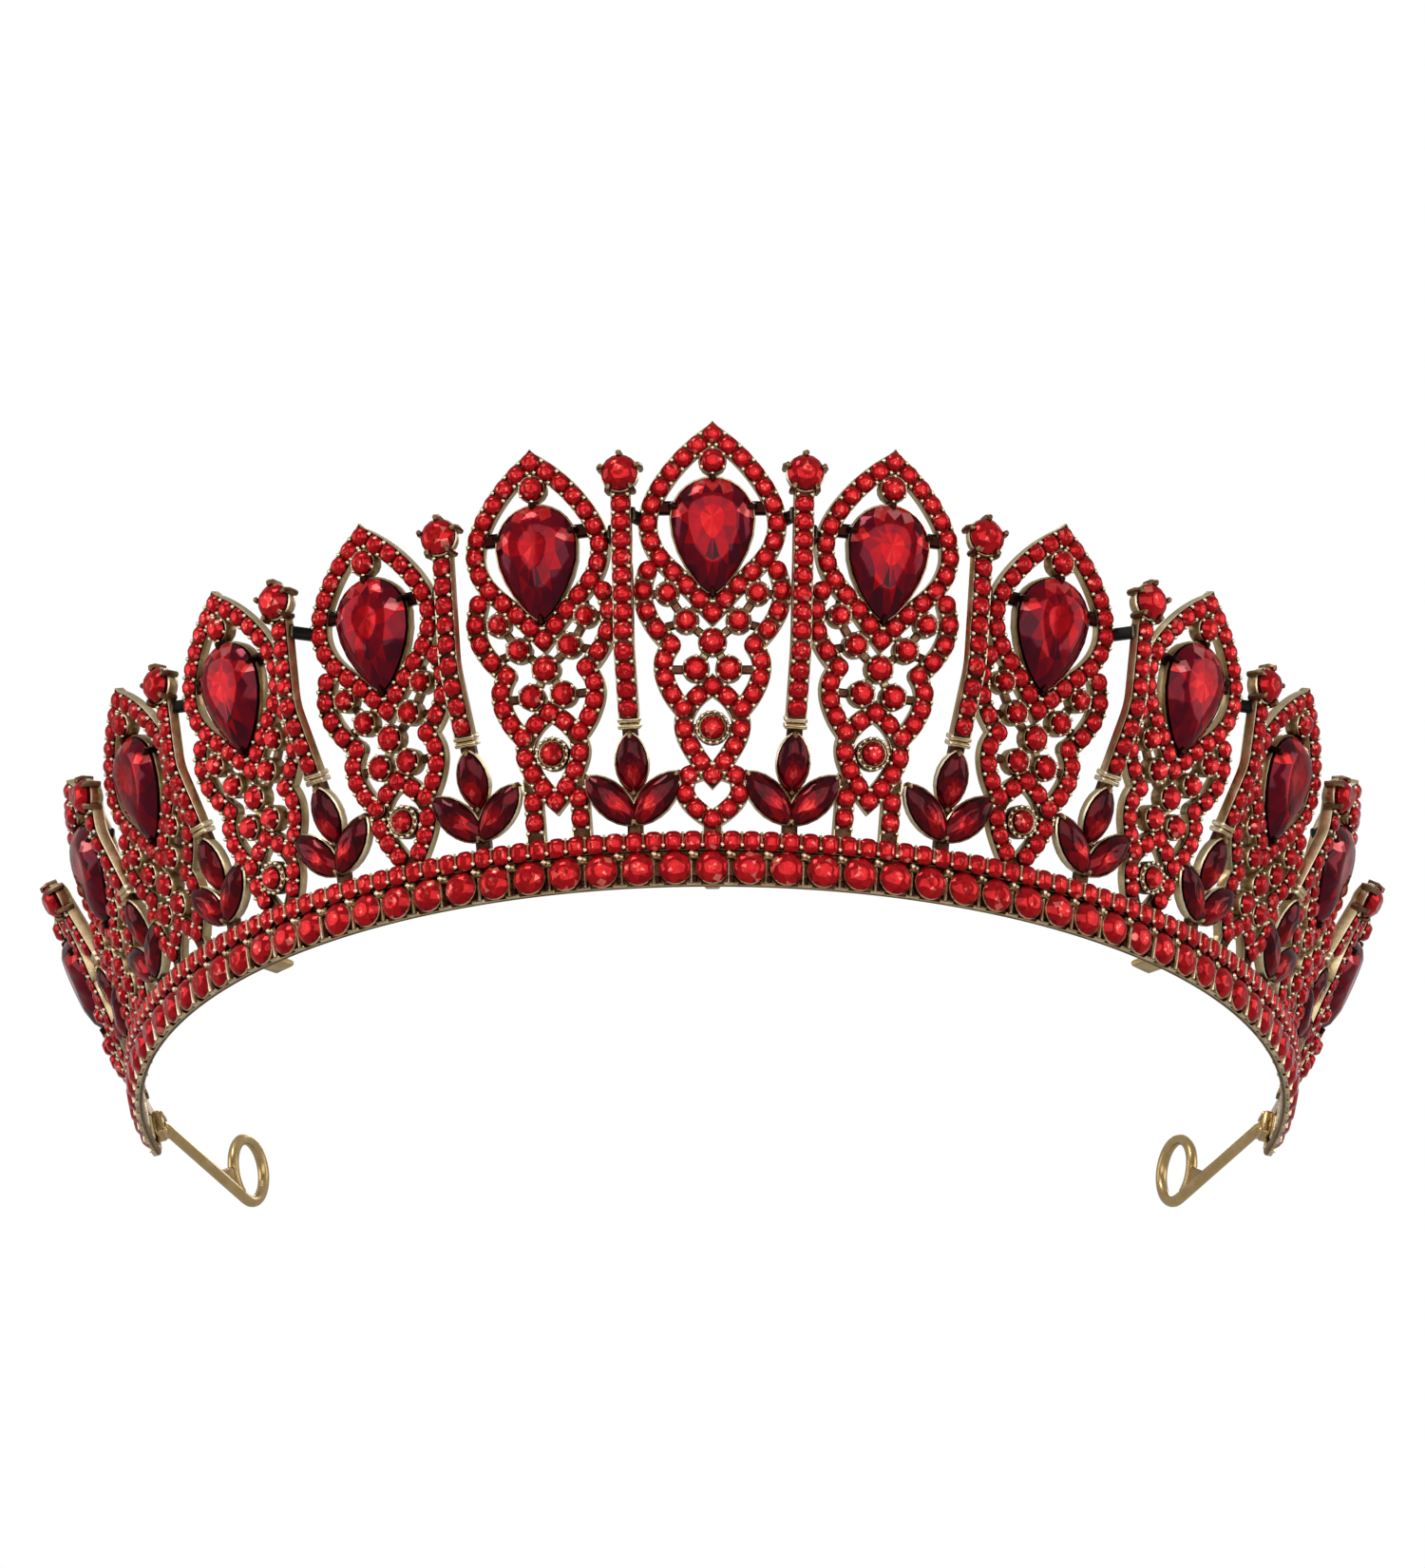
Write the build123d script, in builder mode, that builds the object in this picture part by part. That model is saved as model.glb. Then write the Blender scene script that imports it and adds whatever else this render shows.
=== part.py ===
"""Rhinestone crown: two-row stone band, thirteen leaf spires, twelve posts and two end loops.

Millimetres, +Z up, the band's underside on Z = 0, the front faces -Y.
Every spire and post is drawn flat, in a motif plane: u runs sideways, v runs up the leaning
casting from the centre line of the large stones, and w points out of its stone side.
"""

import os
from math import atan2, cos, degrees, hypot, pi, radians, sin, tan

from build123d import *

os.makedirs("parts", exist_ok=True)

ON_BACK = (Align.CENTER, Align.CENTER, Align.MIN)

# ---- band ------------------------------------------------------------------------------------
RING_Y = 29.74  # the band circle's centre, so that the whole crown is centred on the origin
ARC_RADIUS = 77.6  # radius of the stone fronts, along which arc positions are measured
BAND_TILT = 12.0  # outward lean of the band's wall, degrees
WALL_RADIUS = 76.6  # middle of the band's wall, beside the centre line of the large stones
WALL = 0.6
BAND_HEIGHT = 6.35
BAND_END = 134.0  # arc from the front centre to each end
ROW_Z = 2.2  # centre line of the large stones
UPPER_ROW_Z = 5.5
LOWER_LIP = 0.1  # thickness of the ledge at the band's foot
LIP = 0.3  # thickness of the ledge between the rows
LIP_DEPTH = 0.4
RUNG = (2.9, 3.0, 0.6)  # recess behind each large cup, which leaves the rungs between

LARGE_PITCH = 4.53
LARGE_CUP = 4.1
LARGE_STONE = 3.95
SMALL_PITCH = 2.37
SMALL_CUP = (1.9, 1.7)
SMALL_STONE = 1.65
CUP_DEPTH = 0.6
SEAT_DEPTH = 0.3
END_MARGIN = 0.5  # part of a pitch that stays free at each end of a row

# ---- spires ----------------------------------------------------------------------------------
LEAN = 19.4  # outward lean of the castings, degrees
END_LEAN = 25.0  # lean of the outermost spire
SPIRE_RADIUS = 76.8  # where a motif plane meets the centre line of the large stones
SPIRE_ARCS = (0, 18.8, 38.6, 59.4, 80.2, 101.0, 121.8)
SPIRE_DROPS = (0, 2.2, 7.4, 9.1, 13.1, 15.7, 21.4)  # how far each motif sits below the front one
CAST = 1.4  # thickness of a casting
CAST_FRONT = -0.6  # its stone side
STRIP = 2.4  # width of a strip that carries one line of bead stones
WEB = 1.1
BEAD = 2.0
BEAD_PITCH = 2.36
BEAD_GAP = 0.02  # least room between neighbouring stones
BEAD_GIRDLE = 0.35
BEAD_CROWN = 0.4
BEAD_TABLE = 0.6  # part of the diameter

MAIN_LEAF = ((0, 53.4), (2.9, 51.1), (5.8, 47.7), (7.9, 42.0), (6.7, 38.5), (4.0, 35.6), (0, 31.3))
APEX = ((-1.4, 53.4), (0, 54.8), (1.4, 53.4), (0, 52.0))  # fills the tip between both halves
UPPER_LOBE = ((7.9, 36.6), (8.4, 32.7), (6.7, 29.2), (5.0, 27.4))
LOWER_LOBE = ((5.0, 27.4), (6.0, 25.0), (5.2, 21.9), (3.6, 19.6))
SMALL_LEAF = ((0, 22.3), (2.7, 20.0), (3.5, 17.8), (2.3, 14.4), (0, 11.4))
HEART = ((2.9, 11.4), (3.3, 9.2), (1.8, 7.2), (0, 6.0))
HEART_TOP = ((1.2, 12.0), (2.9, 11.4))
HEART_FOOT = ((0, 6.6), (0, 3.0))
SECOND_LEG = ((2.9, 14.0), (2.9, 4.0))
# the narrow bars that hold the gems and the pear setting between the strips
WEBS = (
    ((5.5, 33.7), (3.2, 30.3)),
    ((3.2, 30.3), (0, 27.7)),
    ((0, 27.7), (2.0, 24.4)),
    ((2.0, 24.4), (0, 22.0)),
    ((2.0, 24.4), (5.8, 24.4)),
    ((5.5, 33.7), (8.2, 33.7)),
    ((5.5, 33.7), (5.2, 37.0)),
    ((3.2, 30.3), (6.6, 29.4)),
    ((3.2, 30.3), (1.6, 32.8)),
    ((4.6, 44.3), (7.4, 44.3)),
    ((0, 35.0), (0, 31.3)),
    ((0, 52.5), (0, 47.6)),
    ((0, 17.2), (3.3, 17.2)),
    ((7.9, 36.6), (6.4, 38.4)),
)
# centre and diameter of the round gems, right half
GEMS = (
    (0, 50.0, 2.9),
    (5.5, 33.7, 2.5),
    (3.2, 30.3, 2.7),
    (0, 27.7, 3.0),
    (2.0, 24.4, 2.8),
    (0, 17.2, 2.8),
)
GEM_RIM = 0.35
GEM_FRONT = 0.0
GEM_SIDES = 8
GEM_GIRDLE = 0.4
GEM_CROWN = 0.7
GEM_TABLE = 0.58
SPIRE_GEMS_FROM = 4.6  # height above the large stones where the gems and beads of a spire start
SPIRE_BEADS_FROM = 5.2

# ---- pear stones -----------------------------------------------------------------------------
PEAR_V = 42.9  # centre of the round end
PEAR_RADIUS = 5.0
PEAR_POINT = 9.1  # from that centre down to the point
PEAR_SIDES = 20
PEAR_GIRDLE = 0.7
PEAR_CROWN = 1.7
PEAR_PAVILION = 1.2
PEAR_TABLE = 0.6
PEAR_FOOT = (0.76, 0.3)  # size of the back at the girdle and at its end
PEAR_NARROWING = 0.42  # how much the sides draw in towards the point
PEAR_RING = (0.3, -0.9)  # outer and inner edge of the setting, measured from the stone

# ---- posts -----------------------------------------------------------------------------------
POST_ARCS = (9.4, 28.7, 49.0, 69.8, 90.6, 111.4)
FINIAL_HEIGHTS = (45.7, 40.4, 37.8, 35.4, 29.8, 25.6)  # above the large stones' centre line
POST_WIDTH = 2.5
POST_DEPTH = 1.5
# side view of a post: outward from ARC_RADIUS, up from the large stones' centre line
POST_FOOT = (-0.7, 3.6)
POST_KNEE = (0.8, 10.0)
SHOULDER_REACHES = (11.0, 11.0, 11.0, 9.4, 9.4, 10.2)
SHOULDER_HEIGHT = 24.6
POST_RISE = 0.2  # outward run of the upper part for each mm of height
POST_BEND = 7.0
SHOULDER_ROOM = 3  # a post that ends nearer its shoulder than this has no upper bend
MARQUISE_AT = 10.0  # along the post from its foot
COLLAR_AT = 14.9
FIRST_STONE_AT = 16.8
FINIAL = 4.5
FINIAL_GIRDLE = 0.6
FINIAL_CROWN = 0.9
FINIAL_CUP = 5.0
FINIAL_LIFT = 0.5  # how far its cup stands in front of the post
COLLAR = (2.9, 1.2, 2.3)
FINIAL_BACK = 0.1  # how far its cup stands behind the post
PRONG = 0.35
PRONG_OUT = 0.3  # from the stone's edge to a prong's middle
PRONGS = 5
PRONG_HEIGHT = 1.6
TOP_STONE_GAP = 0.3  # between the last bead stone of a post and its finial

MARQUISE_LENGTH = 8.0
TOP_MARQUISE_LENGTH = 7.2
MARQUISE_WIDTH = 3.8
MARQUISE_SIDES = 12
MARQUISE_RIM = 0.35
MARQUISE_POWER = 0.35  # how sharply the ends are pointed
MARQUISE_GIRDLE = 0.5
MARQUISE_CROWN = 0.9
MARQUISE_TABLE = 0.55
MARQUISE_LIFT = 0.2
SIDE_MARQUISE = (2.75, 8.7)
SIDE_TILT = 44

# ---- links, loops and tabs ---------------------------------------------------------------------
LINK_V = 42.8
LINK_U = 8.6
LINK = (1.6, 1.1)
LINK_BELOW = 3  # no link is nearer a finial than this
LINK_SINK = 0.2  # how far a link ends inside the post
WIRE = 0.8  # radius
CLIP_ARC = 131.0
CLIP = (3.4, 3.4, 1.4)
CLIP_FOOT = 1.2
LOOP_Z = 5.2
LOOP_RADIUS = 4.4
LOOP_DISTANCE = 24.1  # from the clip to the loop's centre
LOOP_TURN = 24.2  # the shank's angle inward from straight back, degrees
SHANK_Z = 3.2
SHANK_INSET = 0.9  # the shank starts this far inward of the wall
LOOP_SWEEP = 300  # degrees of a full ring
# the solder between the shank and the ring: back from the ring's centre, and height
SOLDER = ((8.6, 1.9), (1.6, 1.0), (4.3, 4.0))
SOLDER_HALF = 0.5
TABS = ((-63.6, 3.5, 2.6), (0, 1.9, 1.5), (63.6, 3.5, 2.6))  # arc position, width and depth
TAB_THICKNESS = 0.8
TAB_FOOT = 0.4
TAB_ROOT = 0.1  # how far a tab reaches into the wall


# ---- planes ----------------------------------------------------------------------------------
def directions(arc):
    """Sideways and outward directions at an arc position; +arc is on the +X side."""
    angle = arc / ARC_RADIUS
    return Vector(cos(angle), sin(angle), 0), Vector(sin(angle), -cos(angle), 0)


def leaning(radius, height):
    """Radius at a height of the band, from the radius beside the centre line of the large stones."""
    return radius + (height - ROW_Z) * tan(radians(BAND_TILT))


def band_plane(arc, radius, height, tilt=BAND_TILT):
    """Plane that faces out of the leaning band, and down by the tilt."""
    side, out = directions(arc)
    origin = Vector(0, RING_Y, height) + out * leaning(radius, height)
    front = out * cos(radians(tilt)) - Vector(0, 0, sin(radians(tilt)))
    return Plane(origin=origin, x_dir=side, z_dir=front)


def motif_plane(arc, lean=LEAN, drop=0):
    """Leaning plane of a casting; v = 0 is the large stones' centre line when drop is 0."""
    side, out = directions(arc)
    up = out * sin(radians(lean)) + Vector(0, 0, cos(radians(lean)))
    foot = Vector(0, RING_Y, ROW_Z) + out * SPIRE_RADIUS
    return Plane(origin=foot - up * drop, x_dir=side, z_dir=side.cross(up))


def side_plane(arc):
    """Radial plane of a post: x is outward from ARC_RADIUS, y is up from the stones' line."""
    side, out = directions(arc)
    return Plane(origin=Vector(0, RING_Y, ROW_Z) + out * ARC_RADIUS, x_dir=out, z_dir=-side)


def shifted(plane, u, v, w=0.0):
    """The same plane, moved to another point of itself."""
    return Plane(origin=plane.from_local_coords((u, v, w)), x_dir=plane.x_dir, z_dir=plane.z_dir)


def save(part, name):
    part.label = name
    export_step(part, f"parts/{name}.step")


# ---- stones ----------------------------------------------------------------------------------
def bead_stone(diameter):
    """Small flat-backed stone with a sloping crown, standing on its own plane."""
    radius = diameter / 2
    with BuildPart() as stone:
        Cylinder(radius, BEAD_GIRDLE, align=ON_BACK)
        with Locations((0, 0, BEAD_GIRDLE)):
            Cone(radius, radius * BEAD_TABLE, BEAD_CROWN, align=ON_BACK)
    return stone.part


def faceted_stone(diameter, crown=GEM_CROWN, girdle=GEM_GIRDLE):
    """Eight-sided flat-backed stone with a table."""
    radius = diameter / 2
    with BuildPart() as stone:
        with BuildSketch():
            RegularPolygon(radius, GEM_SIDES)
        extrude(amount=girdle)
        with BuildSketch(Plane.XY.offset(girdle)):
            RegularPolygon(radius, GEM_SIDES)
        with BuildSketch(Plane.XY.offset(girdle + crown)):
            RegularPolygon(radius * GEM_TABLE, GEM_SIDES)
        loft(ruled=True)
    return stone.part


def pear_outline(scale=1.0, grow=0.0):
    """Points round a pear with its point down, about the centre of its round end."""
    points = []
    for i in range(PEAR_SIDES):
        turn = 2 * pi * i / PEAR_SIDES
        x, y = sin(turn), cos(turn)
        narrowing = 1.0 if y > 0 else 1 - PEAR_NARROWING * y**2
        x *= PEAR_RADIUS * narrowing
        y *= PEAR_RADIUS if y > 0 else PEAR_POINT
        reach = hypot(x, y)
        points.append((x * scale * (1 + grow / reach), y * scale * (1 + grow / reach)))
    return points


def marquise_outline(length, width, scale=1.0):
    """Points round a pointed oval, long axis along y."""
    points = []
    for i in range(MARQUISE_SIDES):
        turn = 2 * pi * i / MARQUISE_SIDES
        x, y = sin(turn), cos(turn)
        points.append((scale * width / 2 * x * abs(x) ** MARQUISE_POWER, scale * length / 2 * y))
    return points


def cut_stone(outline, table, girdle, crown):
    """Flat-backed stone over an outline, with a crown that narrows to the table's outline."""
    with BuildPart() as stone:
        with BuildSketch():
            Polygon(*outline, align=None)
        extrude(amount=girdle)
        with BuildSketch(Plane.XY.offset(girdle)):
            Polygon(*outline, align=None)
        with BuildSketch(Plane.XY.offset(girdle + crown)):
            Polygon(*table, align=None)
        loft(ruled=True)
    return stone.part


def pear_stone():
    """Pear stone whose back also narrows, into the open middle of its setting."""
    top = cut_stone(pear_outline(), pear_outline(PEAR_TABLE), PEAR_GIRDLE, PEAR_CROWN)
    with BuildPart() as stone:
        add(top)
        with BuildSketch():
            Polygon(*pear_outline(PEAR_FOOT[0]), align=None)
        with BuildSketch(Plane.XY.offset(-PEAR_PAVILION)):
            Polygon(*pear_outline(PEAR_FOOT[1]), align=None)
        loft(ruled=True)
    return stone.part


def marquise_stone(length):
    outline = marquise_outline(length, MARQUISE_WIDTH)
    table = marquise_outline(length, MARQUISE_WIDTH, MARQUISE_TABLE)
    return cut_stone(outline, table, MARQUISE_GIRDLE, MARQUISE_CROWN)


def placed(template, planes):
    """Copies of one stone or cup, one on each plane."""
    with BuildPart() as group:
        with Locations(*[plane.location for plane in planes]):
            add(template, clean=False)
    return group.part


def sorted_out(make_stone, places):
    """One part from stones of several sizes; places holds a plane and a size for each."""
    batches = []
    for size in sorted({size for _, size in places}):
        batches.append(placed(make_stone(size), [plane for plane, own in places if own == size]))
    with BuildPart() as group:
        for batch in batches:
            add(batch)
    return group.part


# ---- band ------------------------------------------------------------------------------------
def row_arcs(pitch):
    """Arc positions of a row that is centred on the front and stops short of the ends."""
    count = int((BAND_END - pitch * END_MARGIN) / pitch)
    return [pitch * i for i in range(-count, count + 1)]


def make_band():
    inner, outer = WALL_RADIUS - WALL / 2, WALL_RADIUS + WALL / 2
    ledge = outer + LIP_DEPTH
    middle = ROW_Z * 2 - LIP / 2
    lower = [(inner, 0), (ledge, 0), (ledge, LOWER_LIP), (outer, LOWER_LIP), (outer, middle)]
    upper = [(ledge, middle), (ledge, middle + LIP), (outer, middle + LIP)]
    section = lower + upper + [(outer, BAND_HEIGHT), (inner, BAND_HEIGHT)]
    _, out = directions(-BAND_END)
    start = Plane(origin=(0, RING_Y, 0), x_dir=out, z_dir=out.cross(Vector(0, 0, 1)))
    with BuildPart() as base_rail:
        with BuildSketch(start):
            Polygon(*[(leaning(radius, height), height) for radius, height in section], align=None)
        turn = degrees(2 * BAND_END / ARC_RADIUS)
        revolve(axis=Axis((0, RING_Y, 0), (0, 0, 1)), revolution_arc=turn)
        rungs = [band_plane(s, WALL_RADIUS - WALL / 2, ROW_Z) for s in row_arcs(LARGE_PITCH)]
        with Locations(*[plane.location for plane in rungs]):
            Box(*RUNG, mode=Mode.SUBTRACT)
    save(base_rail.part, "base_rail")

    cup_radius = WALL_RADIUS + WALL / 2
    with BuildPart() as large_cup:
        Cylinder(LARGE_CUP / 2, CUP_DEPTH, align=ON_BACK)
        with Locations((0, 0, CUP_DEPTH - SEAT_DEPTH)):
            Cylinder(LARGE_STONE / 2, CUP_DEPTH, align=ON_BACK, mode=Mode.SUBTRACT)
    with BuildPart() as small_cup:
        Box(*SMALL_CUP, CUP_DEPTH, align=ON_BACK)
    large = [band_plane(s, cup_radius, ROW_Z) for s in row_arcs(LARGE_PITCH)]
    small = [band_plane(s, cup_radius, UPPER_ROW_Z) for s in row_arcs(SMALL_PITCH)]
    save(placed(large_cup.part, large), "lower_cup_row")
    save(placed(small_cup.part, small), "upper_cup_row")
    seat = CUP_DEPTH - SEAT_DEPTH
    large_stones = [plane.offset(seat) for plane in large]
    small_stones = [plane.offset(CUP_DEPTH) for plane in small]
    save(placed(faceted_stone(LARGE_STONE), large_stones), "large_band_stones")
    save(placed(bead_stone(SMALL_STONE), small_stones), "small_band_stones")


# ---- spires ----------------------------------------------------------------------------------
def mirrored(points):
    return tuple((-u, v) for u, v in points)


def spire_lines(index):
    """Right-hand lines of a spire's motif that carry bead stones."""
    lines = [MAIN_LEAF, UPPER_LOBE, LOWER_LOBE, SMALL_LEAF]
    if index == 0:
        lines += [HEART, HEART_TOP]
    if index == 1:
        lines.append(SECOND_LEG)
    return lines


def spire_gems(index):
    """Round gems of a spire, both halves, that clear the band."""
    floor = SPIRE_GEMS_FROM + SPIRE_DROPS[index]
    gems = [gem for gem in GEMS if gem[1] - gem[2] / 2 > floor]
    return gems + [(-u, v, size) for u, v, size in gems if u]


def bead_points(index):
    """Bead stones along a spire's lines, both halves, clear of the gems and of each other."""
    floor = SPIRE_BEADS_FROM + SPIRE_DROPS[index]
    taken = [(u, v, size / 2) for u, v, size in spire_gems(index)]
    beads = []
    for line in spire_lines(index):
        edge = Spline(*line) if len(line) > 2 else Line(*line)
        count = max(round(edge.length / BEAD_PITCH), 1)
        for i in range(count + 1):
            point = edge.position_at(i / count)
            for side in (1, -1):
                u, v = side * point.X, point.Y
                near = any(hypot(u - a, v - b) < r + BEAD / 2 + BEAD_GAP for a, b, r in taken)
                if v > floor and not near:
                    beads.append((u, v))
                    taken.append((u, v, BEAD / 2))
    return beads


def make_spire(index, plane, name):
    with BuildPart() as casting:
        with BuildSketch(plane.offset(CAST_FRONT)):
            for line in spire_lines(index):
                for half in (line, mirrored(line)):
                    with BuildLine():
                        if len(half) > 2:
                            Spline(*half)
                        else:
                            Line(*half)
                    trace(line_width=STRIP)
            if index == 0:
                with BuildLine():
                    Line(*HEART_FOOT)
                trace(line_width=STRIP)
            for bar in WEBS:
                for half in (bar, mirrored(bar)):
                    with BuildLine():
                        Line(*half)
                    trace(line_width=WEB)
            Polygon(*APEX, align=None)
            with Locations((0, PEAR_V)):
                Polygon(*pear_outline(grow=PEAR_RING[0]), align=None)
                Polygon(*pear_outline(grow=PEAR_RING[1]), align=None, mode=Mode.SUBTRACT)
        extrude(amount=-CAST)
        with BuildSketch(plane.offset(CAST_FRONT - CAST)):
            for u, v, size in spire_gems(index):
                with Locations((u, v)):
                    Circle(size / 2 + GEM_RIM)
        extrude(amount=CAST + GEM_FRONT - CAST_FRONT)
        split(bisect_by=Plane.XY.offset(BAND_HEIGHT), keep=Keep.TOP)
    solids = casting.part.solids().sort_by(SortBy.VOLUME)
    save(Part() + solids[-1], name)  # without the loose scraps that the cut leaves


# ---- posts -----------------------------------------------------------------------------------
def post_reach(index, height):
    """How far outward of ARC_RADIUS a post stands at a height above its knee."""
    if height > SHOULDER_HEIGHT:
        return SHOULDER_REACHES[index] + POST_RISE * (height - SHOULDER_HEIGHT)
    slope = (SHOULDER_REACHES[index] - POST_KNEE[0]) / (SHOULDER_HEIGHT - POST_KNEE[1])
    return POST_KNEE[0] + slope * (height - POST_KNEE[1])


def post_path(index):
    """Side view of a post's centre line, from the band up to its finial."""
    height = FINIAL_HEIGHTS[index]
    shoulder = (SHOULDER_REACHES[index], SHOULDER_HEIGHT)
    top = (post_reach(index, height), height)
    if height - SHOULDER_HEIGHT > SHOULDER_ROOM:
        return FilletPolyline(POST_FOOT, POST_KNEE, shoulder, top, radius=POST_BEND)
    return FilletPolyline(POST_FOOT, POST_KNEE, top, radius=POST_BEND)


def post_plane(arc, path, distance, lift=POST_DEPTH / 2):
    """Plane on the stone side of a post, at a distance along it from its foot."""
    side, out = directions(arc)
    point = path.position_at(distance / path.length)
    along = path.tangent_at(distance / path.length)
    up = out * along.X + Vector(0, 0, along.Y)
    front = side.cross(up)
    base = Vector(0, RING_Y, ROW_Z) + out * (ARC_RADIUS + point.X) + Vector(0, 0, point.Y)
    return Plane(origin=base + front * lift, x_dir=side, z_dir=front)


def post_stone_planes(arc, path):
    """Places of the bead stones between a post's collar and its finial."""
    room = path.length - FINIAL_CUP / 2 - BEAD / 2 - TOP_STONE_GAP - FIRST_STONE_AT
    count = round(room / BEAD_PITCH)
    return [post_plane(arc, path, FIRST_STONE_AT + i * room / count) for i in range(count + 1)]


def marquise_planes(arc, path):
    """The upright marquise's plane, then the two slanted ones'."""
    base = motif_plane(arc)
    planes = [post_plane(arc, path, MARQUISE_AT)]
    for side in (1, -1):
        slanted = shifted(base, side * SIDE_MARQUISE[0], SIDE_MARQUISE[1], CAST_FRONT + MARQUISE_LIFT)
        planes.append(slanted.rotated((0, 0, -side * SIDE_TILT)))
    return planes


def marquise_lengths():
    return (TOP_MARQUISE_LENGTH, MARQUISE_LENGTH, MARQUISE_LENGTH)


def make_post(index, arc, name):
    path = post_path(index)
    finial = post_plane(arc, path, path.length)
    width = MARQUISE_WIDTH + 2 * MARQUISE_RIM
    with BuildPart() as casting:
        with BuildSketch(side_plane(arc)):
            with BuildLine():
                add(path)
            trace(line_width=POST_DEPTH)
        extrude(amount=POST_WIDTH / 2, both=True)
        for plane, length in zip(marquise_planes(arc, path), marquise_lengths()):
            rim = marquise_outline(length + 2 * MARQUISE_RIM, width)
            with BuildSketch(plane):
                Polygon(*rim, align=None)
            extrude(amount=-CAST)
        with BuildSketch(post_plane(arc, path, COLLAR_AT, -COLLAR[2] / 2)):
            Rectangle(*COLLAR[:2])
        extrude(amount=COLLAR[2])
        with BuildSketch(finial.offset(-POST_DEPTH - FINIAL_BACK)):
            Circle(FINIAL_CUP / 2)
        extrude(amount=POST_DEPTH + FINIAL_BACK + FINIAL_LIFT)
        with BuildSketch(finial.offset(-POST_DEPTH / 2)):
            with PolarLocations(FINIAL / 2 + PRONG_OUT, PRONGS, start_angle=90):
                Circle(PRONG)
        extrude(amount=POST_DEPTH / 2 + PRONG_HEIGHT)
        split(bisect_by=Plane.XY.offset(BAND_HEIGHT), keep=Keep.TOP)
    save(casting.part, name)
    return path, finial


# ---- links -----------------------------------------------------------------------------------
def link_ends(spire, spire_plane, post, post_arc, side):
    """End points of the bar from a spire's flank to the side of a post, or None if it is too low."""
    start = spire_plane.from_local_coords((side * LINK_U, LINK_V, CAST_FRONT - CAST / 2))
    height = start.Z - ROW_Z
    if height > FINIAL_HEIGHTS[post] - LINK_BELOW:
        return None
    across, out = directions(post_arc)
    centre = Vector(0, RING_Y, start.Z) + out * (ARC_RADIUS + post_reach(post, height))
    return start, centre - across * side * (POST_WIDTH / 2 - LINK_SINK)


def make_link_bars(ends):
    with BuildPart() as link_bars:
        for start, stop in ends:
            along = (stop - start).normalized()
            with BuildSketch(Plane(origin=start, x_dir=Vector(0, 0, 1), z_dir=along)):
                Rectangle(*LINK)
            extrude(amount=(stop - start).length)
    save(link_bars.part, "link_bars")


# ---- end clips, wire loops and inner tabs ----------------------------------------------------
def make_loop_end(side, label):
    inner = WALL_RADIUS - WALL / 2
    seat = band_plane(side * CLIP_ARC, inner, CLIP[1] / 2 + CLIP_FOOT)
    with BuildPart() as clip:
        with Locations(seat.offset(-CLIP[2] / 2).location):
            Box(*CLIP)
    save(clip.part, f"{label}_end_clip")

    turn = radians(LOOP_TURN)
    back = Vector(-side * sin(turn), cos(turn), 0)
    _, out = directions(side * CLIP_ARC)
    start = Vector(0, RING_Y, 0) + out * (inner - SHANK_INSET)
    plane = Plane(origin=start, x_dir=back, z_dir=back.cross(Vector(0, 0, 1)))
    rise = LOOP_Z - SHANK_Z
    reach = hypot(LOOP_DISTANCE, rise)
    slope = degrees(atan2(rise, LOOP_DISTANCE)) - degrees(atan2(LOOP_RADIUS, reach))
    ring = CenterArc((LOOP_DISTANCE, LOOP_Z), LOOP_RADIUS, slope - 90, LOOP_SWEEP)
    route = plane.location * Wire([Line((0, SHANK_Z), ring @ 0), ring])
    with BuildPart() as loop:
        with BuildSketch(Plane(origin=route @ 0, z_dir=route % 0)):
            Circle(WIRE)
        sweep(path=route)
        with BuildSketch(plane):
            Polygon(*[(LOOP_DISTANCE - x, y) for x, y in SOLDER], align=None)
        extrude(amount=SOLDER_HALF, both=True)
    save(loop.part, f"{label}_wire_loop")


def make_inner_tabs():
    with BuildPart() as tabs:
        for arc, width, depth in TABS:
            radius = WALL_RADIUS - WALL / 2 - depth / 2 + TAB_ROOT
            with Locations(band_plane(arc, radius, TAB_FOOT + TAB_THICKNESS / 2, 0).location):
                Box(width, TAB_THICKNESS, depth)
    save(tabs.part, "inner_tabs")


# ---- assembly ---------------------------------------------------------------------------------
def units(count, centre):
    """Index, side and name ending of every spire or post, from the left end to the right."""
    rows = [(i, -1, f"left_{i + 1 - centre}") for i in range(count - 1, centre - 1, -1)]
    if centre:
        rows.append((0, 1, "centre"))
    return rows + [(i, 1, f"right_{i + 1 - centre}") for i in range(centre, count)]


make_band()

spires = {}
beads, gems = [], []
pear = pear_stone()
for index, side, ending in units(len(SPIRE_ARCS), 1):
    lean = END_LEAN if index == len(SPIRE_ARCS) - 1 else LEAN
    plane = motif_plane(side * SPIRE_ARCS[index], lean, SPIRE_DROPS[index])
    spires[index, side] = plane
    make_spire(index, plane, f"spire_{ending}")
    save(placed(pear, [shifted(plane, 0, PEAR_V, CAST_FRONT)]), f"pear_stone_{ending}")
    beads += [shifted(plane, u, v, CAST_FRONT) for u, v in bead_points(index)]
    gems += [(shifted(plane, u, v, GEM_FRONT), size) for u, v, size in spire_gems(index)]
save(placed(bead_stone(BEAD), beads), "bead_stones")
save(sorted_out(faceted_stone, gems), "round_gems")

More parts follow.
